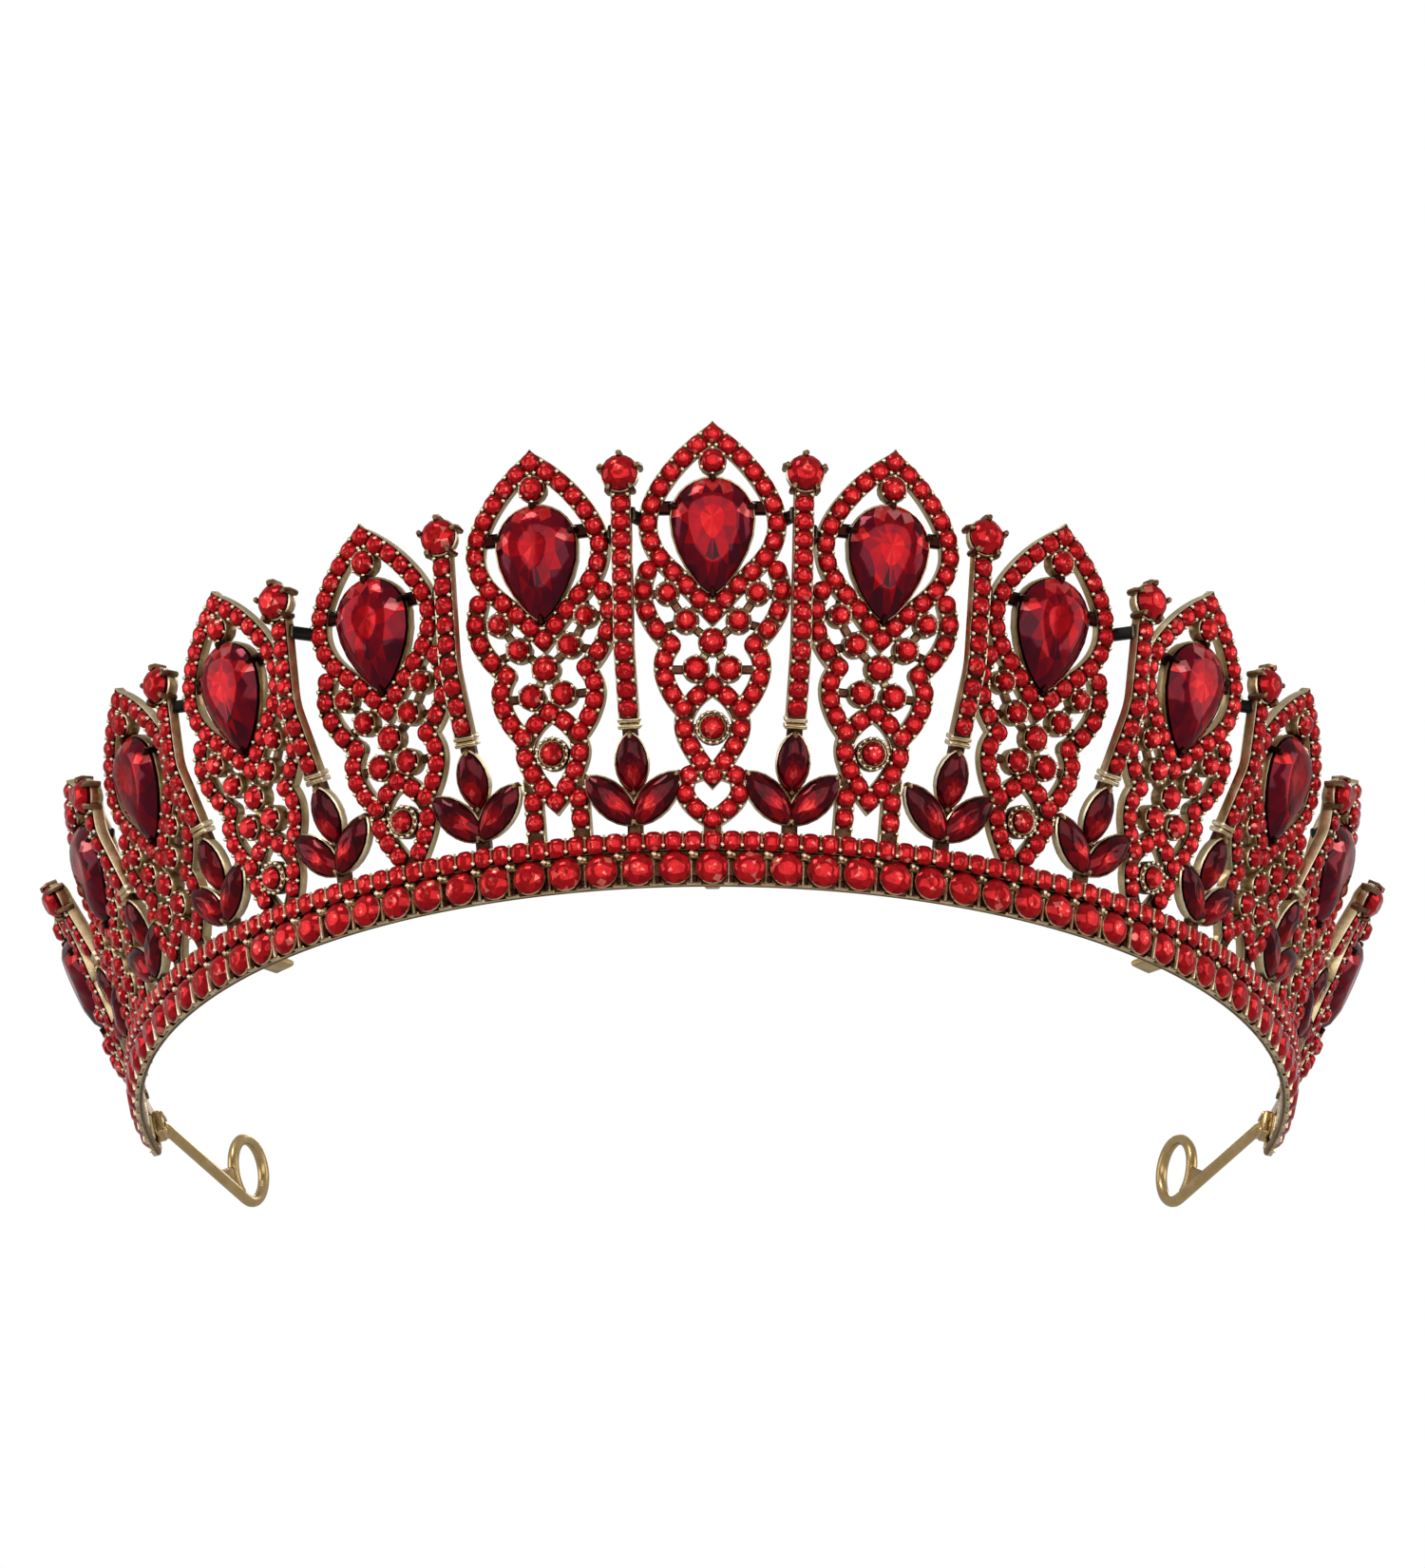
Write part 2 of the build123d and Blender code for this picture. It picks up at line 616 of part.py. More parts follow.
post_beads, finials, marquises, links = [], [], [], []
for index, side, ending in units(len(POST_ARCS), 0):
    arc = side * POST_ARCS[index]
    path, finial = make_post(index, arc, f"post_{ending}")
    post_beads += post_stone_planes(arc, path)
    finials.append(finial.offset(FINIAL_LIFT))
    marquises += list(zip(marquise_planes(arc, path), marquise_lengths()))
    for spire, face in ((index, side), (index + 1, -side)):
        owner = 1 if spire == 0 else side
        ends = link_ends(spire, spires[spire, owner], index, arc, face)
        if ends:
            links.append(ends)
save(placed(bead_stone(BEAD), post_beads), "post_stones")
finial_stone = faceted_stone(FINIAL, FINIAL_CROWN, FINIAL_GIRDLE)
save(placed(finial_stone, finials), "finial_stones")
save(sorted_out(marquise_stone, marquises), "marquise_stones")
make_link_bars(links)
make_loop_end(1, "right")
make_loop_end(-1, "left")
make_inner_tabs()
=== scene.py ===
import random
from math import atan2, cos, hypot, pi, radians, sin, tan

import bmesh
import bpy
import numpy as np
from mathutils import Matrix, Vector


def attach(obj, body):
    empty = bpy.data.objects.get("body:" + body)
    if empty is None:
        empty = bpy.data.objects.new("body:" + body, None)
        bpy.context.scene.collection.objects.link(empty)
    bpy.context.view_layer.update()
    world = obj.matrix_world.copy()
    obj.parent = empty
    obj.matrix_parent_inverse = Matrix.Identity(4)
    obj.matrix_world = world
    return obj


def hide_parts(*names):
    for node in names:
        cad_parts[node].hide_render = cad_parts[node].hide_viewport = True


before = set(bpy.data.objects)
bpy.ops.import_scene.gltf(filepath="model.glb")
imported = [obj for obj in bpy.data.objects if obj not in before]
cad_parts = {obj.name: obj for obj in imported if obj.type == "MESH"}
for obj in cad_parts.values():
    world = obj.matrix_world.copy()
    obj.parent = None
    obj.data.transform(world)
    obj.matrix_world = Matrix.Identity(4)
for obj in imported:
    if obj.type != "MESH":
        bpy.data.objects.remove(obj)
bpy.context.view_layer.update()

# ---- sizes, in millimetres and degrees ---------------------------------------------------------
# They follow the CAD part's, but the visible stones are a little larger, to look closely set.
# An arc is a distance round the circle of ARC_RADIUS, from the middle of the front.
MM = 0.001
RING_Y = 29.74
ARC_RADIUS = 77.6
BAND_TILT = 12.0  # outward lean of the band's wall
WALL_RADIUS = 76.6
WALL = 0.6
BAND_HEIGHT = 6.35
BAND_END = 134.0
BAND_STEPS = 241
ROW_Z = 2.2
UPPER_ROW_Z = 5.5
LARGE_PITCH = 4.53
LARGE_STONE = 4.05
SMALL_PITCH = 2.37
SMALL_STONE = (2.1, 2.45, 0.75)  # width, height, radius of its corners
SMALL_STONE_DROP = 0.12
INNER = WALL_RADIUS - WALL / 2
CUP_FOOT = WALL_RADIUS + WALL / 2
CUP_SINK = -0.1  # how far the cups reach into the wall
LEDGE = CUP_FOOT + 0.3
RECESS = INNER + 0.45  # the floor of the windows between the rungs
RUNG_LENGTH = 3.3
RUNG_LAYERS = ((1.5, 0.5, 0.3), (1.5, 0.3, 0.5), (1.2, 0.05, 0.8), (0.7, -0.1, 0.95))  # width, z, tone
RUNG_MARGIN = 0.8  # least distance from the band's end
LARGE_GAP_MARGIN = 0.45
SMALL_GAP_MARGIN = 0.3
# the band's cross-section: radius, height, tone
SECTION = (
    (INNER + 0.4, 0.0, 0.4), (LEDGE - 0.1, 0.0, 0.6), (LEDGE, 0.05, 0.9), (LEDGE - 0.05, 0.12, 0.5),
    (CUP_FOOT, 0.14, 0.1), (CUP_FOOT, 4.25, 0.05), (LEDGE - 0.05, 4.3, 0.2), (LEDGE, 4.4, 0.4),
    (LEDGE - 0.1, 4.5, 0.2), (CUP_FOOT, 4.55, 0.05), (CUP_FOOT, 6.2, 0.3), (CUP_FOOT - 0.1, 6.35, 0.75),
    (INNER + 0.1, 6.35, 0.75), (INNER, 6.2, 0.65), (INNER, 3.95, 0.6), (RECESS, 3.75, 0.0),
    (RECESS, 1.0, 0.0), (INNER + 0.1, 0.85, 0.6), (INNER + 0.15, 0.4, 0.5),
)

LEAN = 19.4  # outward lean of the spires
END_LEAN = 25.0  # lean of the outermost spire
SPIRE_RADIUS = 76.8
SPIRE_ARCS = (0, 18.8, 38.6, 59.4, 80.2, 101.0, 121.8)
SPIRE_DROPS = (0, 2.2, 7.4, 9.1, 13.1, 15.7, 21.4)
CAST_FRONT = -0.6
CAST_BACK = -2.0
STRIP_HALF = 1.2
STRIP_STEP = 0.013  # each strip is a hair thinner than the last, so that no two faces coincide
STRIP_MITRE = 1.3  # how far a strip runs on past the middle before its halves are cut to meet
WEB_HALF = 0.55
WEB_STEP = 0.007
BEAD = 2.0  # room kept for a bead stone
BEAD_PITCH = 2.36
BEAD_WIDTH = 2.28  # its visible width
BEAD_SHAPE = (0.05, 0.35, 0.5)  # foot, girdle, crown
BEAD_GAP = 0.02
BEADS_FROM = 5.2  # height along a spire at which the band ends
GEMS_FROM = 4.6
GRAIN = 0.27
GRAIN_OFFSET = 0.86  # from the middle of a strip
GRAIN_GAP = 0.1
MAIN_LEAF = ((0, 53.4), (2.9, 51.1), (5.8, 47.7), (7.9, 42.0), (6.7, 38.5), (4.0, 35.6), (0, 31.3))
UPPER_LOBE = ((7.9, 36.6), (8.4, 32.7), (6.7, 29.2), (5.0, 27.4))
LOWER_LOBE = ((5.0, 27.4), (6.0, 25.0), (5.2, 21.9), (3.6, 19.6))
SMALL_LEAF = ((0, 22.3), (2.7, 20.0), (3.5, 17.8), (2.3, 14.4), (0, 11.4))
HEART = ((2.9, 11.4), (3.3, 9.2), (1.8, 7.2), (0, 6.0))
HEART_TOP = ((1.2, 12.0), (2.9, 11.4))
HEART_FOOT = ((0, 6.6), (0, 3.0))
SECOND_LEG = ((2.9, 14.0), (2.9, 4.0))
# narrow bars between the strips: two ends, tone
WEBS = (
    ((5.5, 33.7), (3.2, 30.3), 0.3),
    ((3.2, 30.3), (0, 27.7), 0.3),
    ((0, 27.7), (2.0, 24.4), 0.6),
    ((2.0, 24.4), (0, 22.0), 0.3),
    ((2.0, 24.4), (5.8, 24.4), 0.15),
    ((5.5, 33.7), (8.2, 33.7), 0.15),
    ((5.5, 33.7), (5.2, 37.0), 0.15),
    ((3.2, 30.3), (6.6, 29.4), 0.1),
    ((3.2, 30.3), (1.6, 32.8), 0.3),
    ((0, 35.0), (0, 31.3), 0.2),
    ((0, 52.5), (0, 47.6), 0.1),
    ((0, 17.2), (3.3, 17.2), 0.2),
    ((7.9, 36.6), (6.4, 38.4), 0.1),
)
PEAR_BAR = ((4.6, 44.3), (7.4, 44.3))
PEAR_BAR_HALF = 0.85
# round gems: across, along, diameter
GEMS = (
    (0, 50.0, 2.9), (5.5, 33.7, 2.5), (3.2, 30.3, 2.7),
    (0, 27.7, 3.0), (2.0, 24.4, 2.8), (0, 17.2, 2.8),
)
GEM_SHAPE = (0.0, 0.35, 0.75)  # foot, girdle, crown
RINGED_GEM = 17.2  # place along the spire of the gem with a ring of grains round it
STRIP_END = (  # button at the end of a strip: radius, z, tone
    (0.9, CAST_BACK + 0.02, 0.4), (1.18, CAST_BACK + 0.3, 0.6),
    (1.18, -0.7, 0.6), (1.0, CAST_FRONT + 0.03, 0.3),
)
PEAR_V = 42.9
PEAR_RADIUS = 5.0
PEAR_POINT = 9.1
PEAR_CLAWS = (0, 73, 287, 180)  # degrees round the pear
# the pear's open setting: growth of its outline, z, tone
PEAR_HOOP = (
    (-0.1, -1.4, 0.4), (0.22, -1.1, 0.5), (0.3, 0.1, 0.6), (0.2, 0.32, 0.85),
    (0.02, 0.3, 0.3), (-0.9, -0.2, 0.1), (-0.9, -1.3, 0.2),
)

POST_ARCS = (9.4, 28.7, 49.0, 69.8, 90.6, 111.4)
FINIAL_HEIGHTS = (45.7, 40.4, 37.8, 35.4, 29.8, 25.6)
POST_DEPTH = 1.5
POST_WIDTH = 2.5
POST_STEM_HALF = 0.95
POST_STRIP_HALF = 1.25
# points of a post's side view: outward of ARC_RADIUS, height
POST_FOOT = (-0.7, 3.6)
POST_KNEE = (0.8, 10.0)
SHOULDER_REACHES = (11.0, 11.0, 11.0, 9.4, 9.4, 10.2)
SHOULDER_HEIGHT = 24.6
POST_RISE = 0.2  # outward for each mm of height above the shoulder
POST_BEND = 7.0  # radius of its bends
SHORT_TOP = 3  # a post that ends within this of its shoulder has no shoulder
# places along a post
MARQUISE_AT = 10.0
COLLAR_AT = 14.9
FIRST_STONE_AT = 16.8
COLLAR_RING = (2.8, 0.66, 2.1)
TOP_STONE_GAP = 0.3
FINIAL = 4.5
FINIAL_CUP = 5.0
FINIAL_SHAPE = (0.3, 0.7, 1.1)  # foot, girdle, crown
FINIAL_CLAWS = 5
# the finial's turned cup: radius, z, tone
FINIAL_TURNING = (
    (1.1, -1.65, 0.4), (2.0, -1.2, 0.5), (FINIAL_CUP / 2 - 0.15, -0.4, 0.6),
    (FINIAL_CUP / 2 - 0.1, 0.35, 0.8), (FINIAL_CUP / 2 - 0.25, 0.5, 0.95), (FINIAL_CUP / 2 - 0.4, 0.35, 0.3),
)
MARQUISE_LENGTHS = (7.2, 8.0, 8.0)  # the upright one, then the two slanted ones
MARQUISE_WIDTH = 3.8
# a marquise's cup: growth of its outline, z, tone
MARQUISE_CUP = (
    (-0.5, -1.5, 0.3), (0.05, -1.2, 0.45), (0.25, -0.5, 0.6),
    (0.28, 0.05, 0.85), (0.12, 0.2, 0.9), (-0.1, 0.05, 0.1),
)
SIDE_MARQUISE = (2.75, 8.7)
SIDE_TILT = 44

LINK_V = 42.8
LINK_U = 8.6
LINK_BELOW = 3  # no link is nearer a finial than this
LINK_SINK = 0.2  # how far a link ends inside the post
LINK_END = ((1.7, 0, 0.3), (1.9, 0.15, 0.9), (1.9, 0.4, 0.6), (1.5, 0.55, 0.2))  # width, distance in, tone
WIRE = 0.8  # radius
CLIP_ARC = 131.0
CLIP_Z = 2.9
LOOP_Z = 5.2
LOOP_RADIUS = 4.4
LOOP_DISTANCE = 24.1
LOOP_TURN = 24.2
LOOP_SWEEP = 345
LOOP_POINTS = 66
# solder at the root of the ring: back from the ring's middle, height
SOLDER = ((8.6, 1.9), (1.8, 1.0), (3.4, 2.6), (4.5, 4.2))
SHANK_Z = 3.2
SHANK_INSET = 0.9
# tabs: arc, width, depth
TABS = ((-63.6, 3.5, 2.6), (0, 1.9, 1.5), (63.6, 3.5, 2.6))
TAB_FOOT = 0.4
TAB_THICKNESS = 0.8

SHARP_ANGLE = 42  # an edge with a sharper turn is shaded as a crease
dice = random.Random(11)


# ---- places ----------------------------------------------------------------------------------
def unit(vector):
    return np.asarray(vector, float) / np.linalg.norm(vector)


class Place:
    """A point and three directions: x sideways, y along the part, z out of its stone side."""

    def __init__(self, origin, x, z):
        self.origin = np.asarray(origin, float)
        self.x, self.z = unit(x), unit(z)
        self.y = np.cross(self.z, self.x)

    def at(self, points):
        return self.origin + np.asarray(points, float) @ np.array([self.x, self.y, self.z])

    def moved(self, x, y, z=0.0, turn=0.0):
        across = self.x * cos(radians(turn)) + self.y * sin(radians(turn))
        return Place(self.at((x, y, z)), across, self.z)


def directions(arc):
    angle = arc / ARC_RADIUS
    return np.array([cos(angle), sin(angle), 0]), np.array([sin(angle), -cos(angle), 0])


def leaning(radius, height):
    """Radius at a height of the band, from the radius beside the centre line of the large stones."""
    return radius + (height - ROW_Z) * tan(radians(BAND_TILT))


def band_place(arc, radius, height, tilt=BAND_TILT):
    """Place on the leaning band that faces outward, and down by the tilt."""
    side, out = directions(arc)
    origin = np.array([0, RING_Y, height]) + out * leaning(radius, height)
    return Place(origin, side, out * cos(radians(tilt)) - np.array([0, 0, sin(radians(tilt))]))


def motif_place(arc, lean, drop):
    side, out = directions(arc)
    up = out * sin(radians(lean)) + np.array([0, 0, cos(radians(lean))])
    foot = np.array([0, RING_Y, ROW_Z]) + out * SPIRE_RADIUS
    return Place(foot - up * drop, side, np.cross(side, up))


def side_place(arc):
    side, out = directions(arc)
    return Place(np.array([0, RING_Y, ROW_Z]) + out * ARC_RADIUS, out, -side)


# ---- lines -----------------------------------------------------------------------------------
def smooth_line(points, steps=24):
    """Dense points on the smooth curve through the given ones."""
    knots = np.asarray(points, float)
    if len(knots) == 2:
        return knots[0] + (knots[1] - knots[0]) * np.linspace(0, 1, steps)[:, None]
    t = np.concatenate([[0], np.cumsum(np.linalg.norm(np.diff(knots, axis=0), axis=1))])
    h = np.diff(t)
    slope = np.diff(knots, axis=0) / h[:, None]
    first = slope[0] + (slope[0] - slope[1]) * h[0] / (h[0] + h[1])
    last = slope[-1] + (slope[-1] - slope[-2]) * h[-1] / (h[-1] + h[-2])
    n = len(knots)
    left, right = np.zeros((n, n)), np.zeros((n, 2))
    left[0, 0] = left[-1, -1] = 1
    right[0], right[-1] = first, last
    for i in range(1, n - 1):
        left[i, i - 1], left[i, i], left[i, i + 1] = h[i], 2 * (h[i - 1] + h[i]), h[i - 1]
        right[i] = 3 * (h[i] * slope[i - 1] + h[i - 1] * slope[i])
    speed = np.linalg.solve(left, right)
    dense = []
    for i in range(n - 1):
        s = np.linspace(0, 1, steps, endpoint=i == n - 2)[:, None]
        a, b = knots[i], knots[i + 1]
        u, v = speed[i] * h[i], speed[i + 1] * h[i]
        leaving = (1 + 2 * s) * (1 - s) ** 2 * a + s * (1 - s) ** 2 * u
        dense.append(leaving + s * s * (3 - 2 * s) * b - s * s * (1 - s) * v)
    return np.concatenate(dense)


def length_of(line):
    return float(np.linalg.norm(np.diff(line, axis=0), axis=1).sum())


def spaced(line, distances):
    """Points at the given distances along a dense line."""
    run = np.concatenate([[0], np.cumsum(np.linalg.norm(np.diff(line, axis=0), axis=1))])
    return np.stack([np.interp(distances, run, line[:, k]) for k in range(line.shape[1])], 1)


def evenly(line, step):
    count = max(int(round(length_of(line) / step)), 1)
    return spaced(line, np.linspace(0, length_of(line), count + 1))


def tangents(line):
    flow = np.gradient(line, axis=0)
    return flow / np.linalg.norm(flow, axis=1)[:, None]


def filleted(points, radius, steps=14):
    """Straight runs through the points, with round corners."""
    points = [np.asarray(p, float) for p in points]
    line = [points[0]]
    for before, corner, after in zip(points, points[1:], points[2:]):
        one, two = unit(before - corner), unit(after - corner)
        half = np.arccos(np.clip(one @ two, -1, 1)) / 2
        centre = corner + unit(one + two) * radius / sin(half)
        start, stop = corner + one * radius / tan(half), corner + two * radius / tan(half)
        for s in np.linspace(0, 1, steps):
            line.append(centre + unit((start - centre) * (1 - s) + (stop - centre) * s) * radius)
    return np.array(line + [points[-1]])


def circle(radius, sides):
    turns = np.arange(sides) * 2 * pi / sides
    return np.stack([radius * np.cos(turns), radius * np.sin(turns)], 1)


def pear_outline(grow=0.0, sides=28):
    turns = np.arange(sides) * 2 * pi / sides
    x, y = np.sin(turns), np.cos(turns)
    x = x * PEAR_RADIUS * np.where(y > 0, 1.0, 1 - 0.42 * y * y)
    y = y * np.where(y > 0, PEAR_RADIUS, PEAR_POINT)
    return np.stack([x, y], 1) * (1 + grow / np.hypot(x, y))[:, None]


def marquise_outline(length, width, sides=20):
    turns = np.arange(sides) * 2 * pi / sides
    x, y = np.sin(turns), np.cos(turns)
    return np.stack([width / 2 * x * np.abs(x) ** 0.35, length / 2 * y], 1)


def rounded_rectangle(width, height, radius, steps=3):
    corners = []
    for k, (sx, sy) in enumerate(((1, 1), (-1, 1), (-1, -1), (1, -1))):
        x, y = sx * (width / 2 - radius), sy * (height / 2 - radius)
        for i in range(steps + 1):
            turn = (k + i / steps) * pi / 2
            corners.append((x + radius * cos(turn), y + radius * sin(turn)))
    return np.array(corners)


# ---- shapes ----------------------------------------------------------------------------------
def turned(layers, sides):
    """Loops for Shapes.stack from rows of radius, z and tone."""
    return [(circle(radius, sides), z, tone) for radius, z, tone in layers]


class Shapes:
    """Closed shapes that make one piece. A tone from 0, dark, to 1, bright, goes with each corner; on the
    stones it is painted light and shade of the facets.
    """

    def __init__(self):
        self.points, self.faces, self.tones, self.smooth = [], [], [], []
        self.count = 0

    def add(self, points, faces, tones, smooth=True):
        self.points.append(np.asarray(points, float))
        for i, face in enumerate(faces):
            self.faces.append([self.count + j for j in face])
            self.tones.extend([tones[j] for j in face] if smooth else [tones[i]] * len(face))
        self.smooth += [smooth] * len(faces)
        self.count += len(points)

    def rings(self, rings, tones, closed=False):
        """Skin over a row of rings of points; tones has one value for each point of each ring."""
        rings = np.asarray(rings, float)
        n, m = rings.shape[:2]
        faces = []
        for i in range(n if closed else n - 1):
            p = (i + 1) % n
            faces += [(i * m + j, i * m + (j + 1) % m, p * m + (j + 1) % m, p * m + j) for j in range(m)]
        if not closed:
            faces += [tuple(range(m)), tuple(range((n - 1) * m, n * m))]
        self.add(rings.reshape(-1, 3), faces, np.asarray(tones, float).ravel().tolist())

    def stack(self, place, loops, closed=False):
        """Outlines, each with its height and tone, joined one above the other."""
        rings = [place.at(np.column_stack([loop, np.full(len(loop), z)])) for loop, z, _ in loops]
        self.rings(rings, [[tone] * len(loop) for loop, _, tone in loops], closed)

    def ribbon(self, place, line, profile, edge_on=False, side=0):
        """A profile of (across, height, tone) carried along a flat line; side keeps one half."""
        flow = tangents(line)
        normal = np.stack([flow[:, 1], -flow[:, 0]], 1)
        profile = np.asarray(profile, float)
        across, height = profile[:, 0], profile[:, 1]
        if edge_on:
            across, height = height, across
        flat = line[:, None, :] + normal[:, None, :] * across[None, :, None]
        if side:
            flat[..., 0] = np.maximum(flat[..., 0], 0) * side
        local = np.concatenate([flat, np.broadcast_to(height[None, :, None], flat.shape[:2] + (1,))], 2)
        rings = place.at(local.reshape(-1, 3)).reshape(local.shape)
        self.rings(rings, np.broadcast_to(profile[:, 2], flat.shape[:2]))

    def tube(self, points, radii, sides=8, tone=0.8, normal=None):
        points = np.asarray(points, float)
        flow = tangents(points)
        if normal is None:
            normal = np.cross(flow[0], unit(flow[0] + np.array([0.3, 0.5, 0.9])))
        one = np.cross(flow, normal)
        one /= np.linalg.norm(one, axis=1)[:, None]
        two = np.cross(flow, one)
        turns = np.arange(sides) * 2 * pi / sides
        radii = np.broadcast_to(radii, len(points))[:, None, None]
        ring = one[:, None] * np.cos(turns)[None, :, None] + two[:, None] * np.sin(turns)[None, :, None]
        self.rings(points[:, None] + ring * radii, np.full((len(points), sides), tone))

    def dot(self, centre, radius, tone=0.95, sides=6):
        """Small round grain."""
        place = Place(centre, (1, 0.2, 0.1), np.cross((1, 0.2, 0.1), (0.1, 0.9, 0.3)))
        layers = [(radius * sin(t), -radius * cos(t), tone) for t in (0.35, 1.05, 1.7, 2.35, 2.85)]
        self.stack(place, turned(layers, sides))

    def block(self, place, size, radius, tone=0.6):
        """Plate with rounded edges, standing on its place."""
        width, height, depth = size
        bevel = radius * 0.8
        layers = ((bevel, 0, tone), (0, radius, tone), (0, depth - radius, tone + 0.15), (bevel, depth, tone))
        self.stack(place, [
            (rounded_rectangle(width - inset * 2, height - inset * 2, radius * 0.9), z, shade)
            for inset, z, shade in layers
        ])

    def build(self, name, nodes, slot, material, trim=False):
        """Make the piece; trim cuts off what is below the top of the band."""
        mesh = bpy.data.meshes.new(name)
        mesh.from_pydata((np.concatenate(self.points) * MM).tolist(), [], self.faces)
        mesh.attributes.new("tone", "FLOAT", "CORNER").data.foreach_set("value", self.tones)
        mesh.polygons.foreach_set("use_smooth", self.smooth)
        shape = bmesh.new()
        shape.from_mesh(mesh)
        bmesh.ops.recalc_face_normals(shape, faces=shape.faces)
        if trim:
            everything = shape.verts[:] + shape.edges[:] + shape.faces[:]
            bmesh.ops.bisect_plane(
                shape,
                geom=everything,
                dist=1e-7,
                plane_co=(0, 0, (BAND_HEIGHT - 0.1) * MM),
                plane_no=(0, 0, 1),
                clear_inner=True,
            )
            bmesh.ops.holes_fill(shape, edges=[edge for edge in shape.edges if edge.is_boundary])
        shape.to_mesh(mesh)
        shape.free()
        mesh.set_sharp_from_angle(angle=radians(SHARP_ANGLE))
        mesh.materials.append(material)
        piece = bpy.data.objects.new(name, mesh)
        bpy.context.scene.collection.objects.link(piece)
        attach(piece, "root")
        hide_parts(*nodes)


def cut_stone(shapes, place, outline, heights, scales, shade, sink=0.0):
    """Faceted stone: foot, girdle, an upper row of facets and a table, over an outline of 2n points."""
    n = len(outline) // 2
    odd, even = outline[1::2], outline[0::2]
    foot, girdle, middle, table = heights
    rows = [
        (outline * scales[0], foot),
        (outline, girdle),
        (odd * scales[1], middle),
        (even * scales[2], table),
        (odd * scales[2] * 0.5, table - sink),
        (odd[:1] * 0, table - sink * 1.5),
    ]
    points = np.concatenate([np.column_stack([flat, np.full(len(flat), z)]) for flat, z in rows])
    ring, mid, top, inner, centre = 2 * n, 4 * n, 5 * n, 6 * n, 7 * n
    faces = [tuple(range(2 * n))]
    kinds = ["foot"]
    for k in range(2 * n):
        j = (k + 1) % (2 * n)
        faces.append((k, j, ring + j, ring + k))
        faces.append((ring + k, ring + j, mid + k // 2))
        kinds += ["edge", "break"]
    for k in range(n):
        j = (k + 1) % n
        faces.append((top + k, mid + (k - 1) % n, ring + 2 * k, mid + k))
        faces.append((top + k, mid + k, top + j))
        kinds += ["kite", "star"]
        faces.append((top + k, top + j, inner + k))
        faces.append((inner + k, top + j, inner + j))
        faces.append((inner + k, inner + j, centre))
        kinds += ["table", "table", "core"]
    spots = [points[list(face)].mean(0) for face in faces]
    # each facet's tone is painted light and shade, from the shade function
    tones = [shade(kind, spot) for kind, spot in zip(kinds, spots)]
    shapes.add(place.at(points), faces, tones, smooth=False)


def spark(low, high):
    return low + (high - low) * dice.random()


def round_shade(kind, spot):
    """Painted light of a foiled stone: bright middle, a rim in painted shade, and a few facets with a painted
    glint.
    """
    if kind in ("foot", "edge"):
        return 0.1
    # one facet in twenty gets a painted glint
    if dice.random() < 0.05:
        return 0.97
    return {
        "break": spark(0.25, 0.6),
        "kite": spark(0.4, 0.7),
        "star": spark(0.5, 0.85),
        "table": spark(0.45, 0.75),
        "core": spark(0.6, 0.9),
    }[kind]


def round_stone(shapes, place, diameter, foot, girdle, crown, sides=8):
    outline = circle(diameter / 2, sides * 2)
    heights = (foot, foot + girdle, foot + girdle + crown * 0.6, foot + girdle + crown)
    spun = place.moved(0, 0, 0, dice.uniform(0, 90))
    cut_stone(shapes, spun, outline, heights, (0.95, 0.8, 0.55), round_shade, sink=0.05 * crown)


def pear_shade(kind, spot):
    """Painted light of the pear: glowing middle, a dark point in painted shade, and painted highlights on the
    facets at the head and both shoulders.
    """
    x, y = spot[0] / PEAR_RADIUS, spot[1] / PEAR_RADIUS
    if kind in ("foot", "edge"):
        return 0.1
    if kind in ("break", "kite"):
        # painted highlights at the head and on both shoulders
        if y > 0.72 and abs(x) < 0.45 or abs(x) > 0.66 and abs(y - 0.12) < 0.2:
            return spark(0.84, 1.0)
        return spark(0.12, 0.42)
    if kind == "star":
        return spark(0.3, 0.68)
    glow = np.exp(-((x / 0.55) ** 2) - ((y + 0.1) / 0.5) ** 2)
    # painted shade towards the point
    if y < -0.75:
        return spark(0.02, 0.35)
    return 0.36 + 0.4 * glow + spark(-0.1, 0.14)


def marquise_shade(kind, spot):
    """Painted light: a glow towards the lower end."""
    if kind in ("foot", "edge"):
        return 0.1
    glow = np.exp(-((spot[0] / 1.3) ** 2) - ((spot[1] + 1.3) / 1.5) ** 2)
    return 0.24 + 0.66 * glow + spark(-0.14, 0.18)


# ---- metal profiles: across, height, tone --------------------------------------------------------
def channel(half, front, back, rim=0.2, edge=0.16):
    """Strip with a sunk floor for stones between two raised, rounded edges."""
    floor = front + 0.05
    top = front + rim
    right = [
        (half - 0.3, back, 0.45),
        (half, back + 0.3, 0.65),
        (half, top - 0.12, 0.8),
        (half - edge * 0.35, top, 0.95),
        (half - edge, top - 0.04, 0.8),
        (half - edge * 1.25, floor, 0.1),
    ]
    return right + [(-a, b, tone) for a, b, tone in reversed(right)]


def bar(half, front, back, tone):
    """Plain bar with softened edges."""
    soft = min(half, front - back) * 0.35
    right = [
        (half - soft, back, tone),
        (half, back + soft, tone),
        (half, front - soft, tone),
        (half - soft, front, tone),
    ]
    return right + [(-a, b, shade) for a, b, shade in reversed(right)]


def cup(shapes, place, radius, foot, top, tone=0.75, sides=16):
    """Turned cup with a rounded lip and a dark seat."""
    layers = (
        (radius * 0.82, foot, tone * 0.7),
        (radius, foot + 0.25, tone * 0.8),
        (radius, top - 0.15, tone),
        (radius - 0.1, top, 0.95),
        (radius - 0.24, top - 0.06, 0.7),
        (radius - 0.36, top - 0.35, 0.05),
    )
    shapes.stack(place, turned(layers, sides))


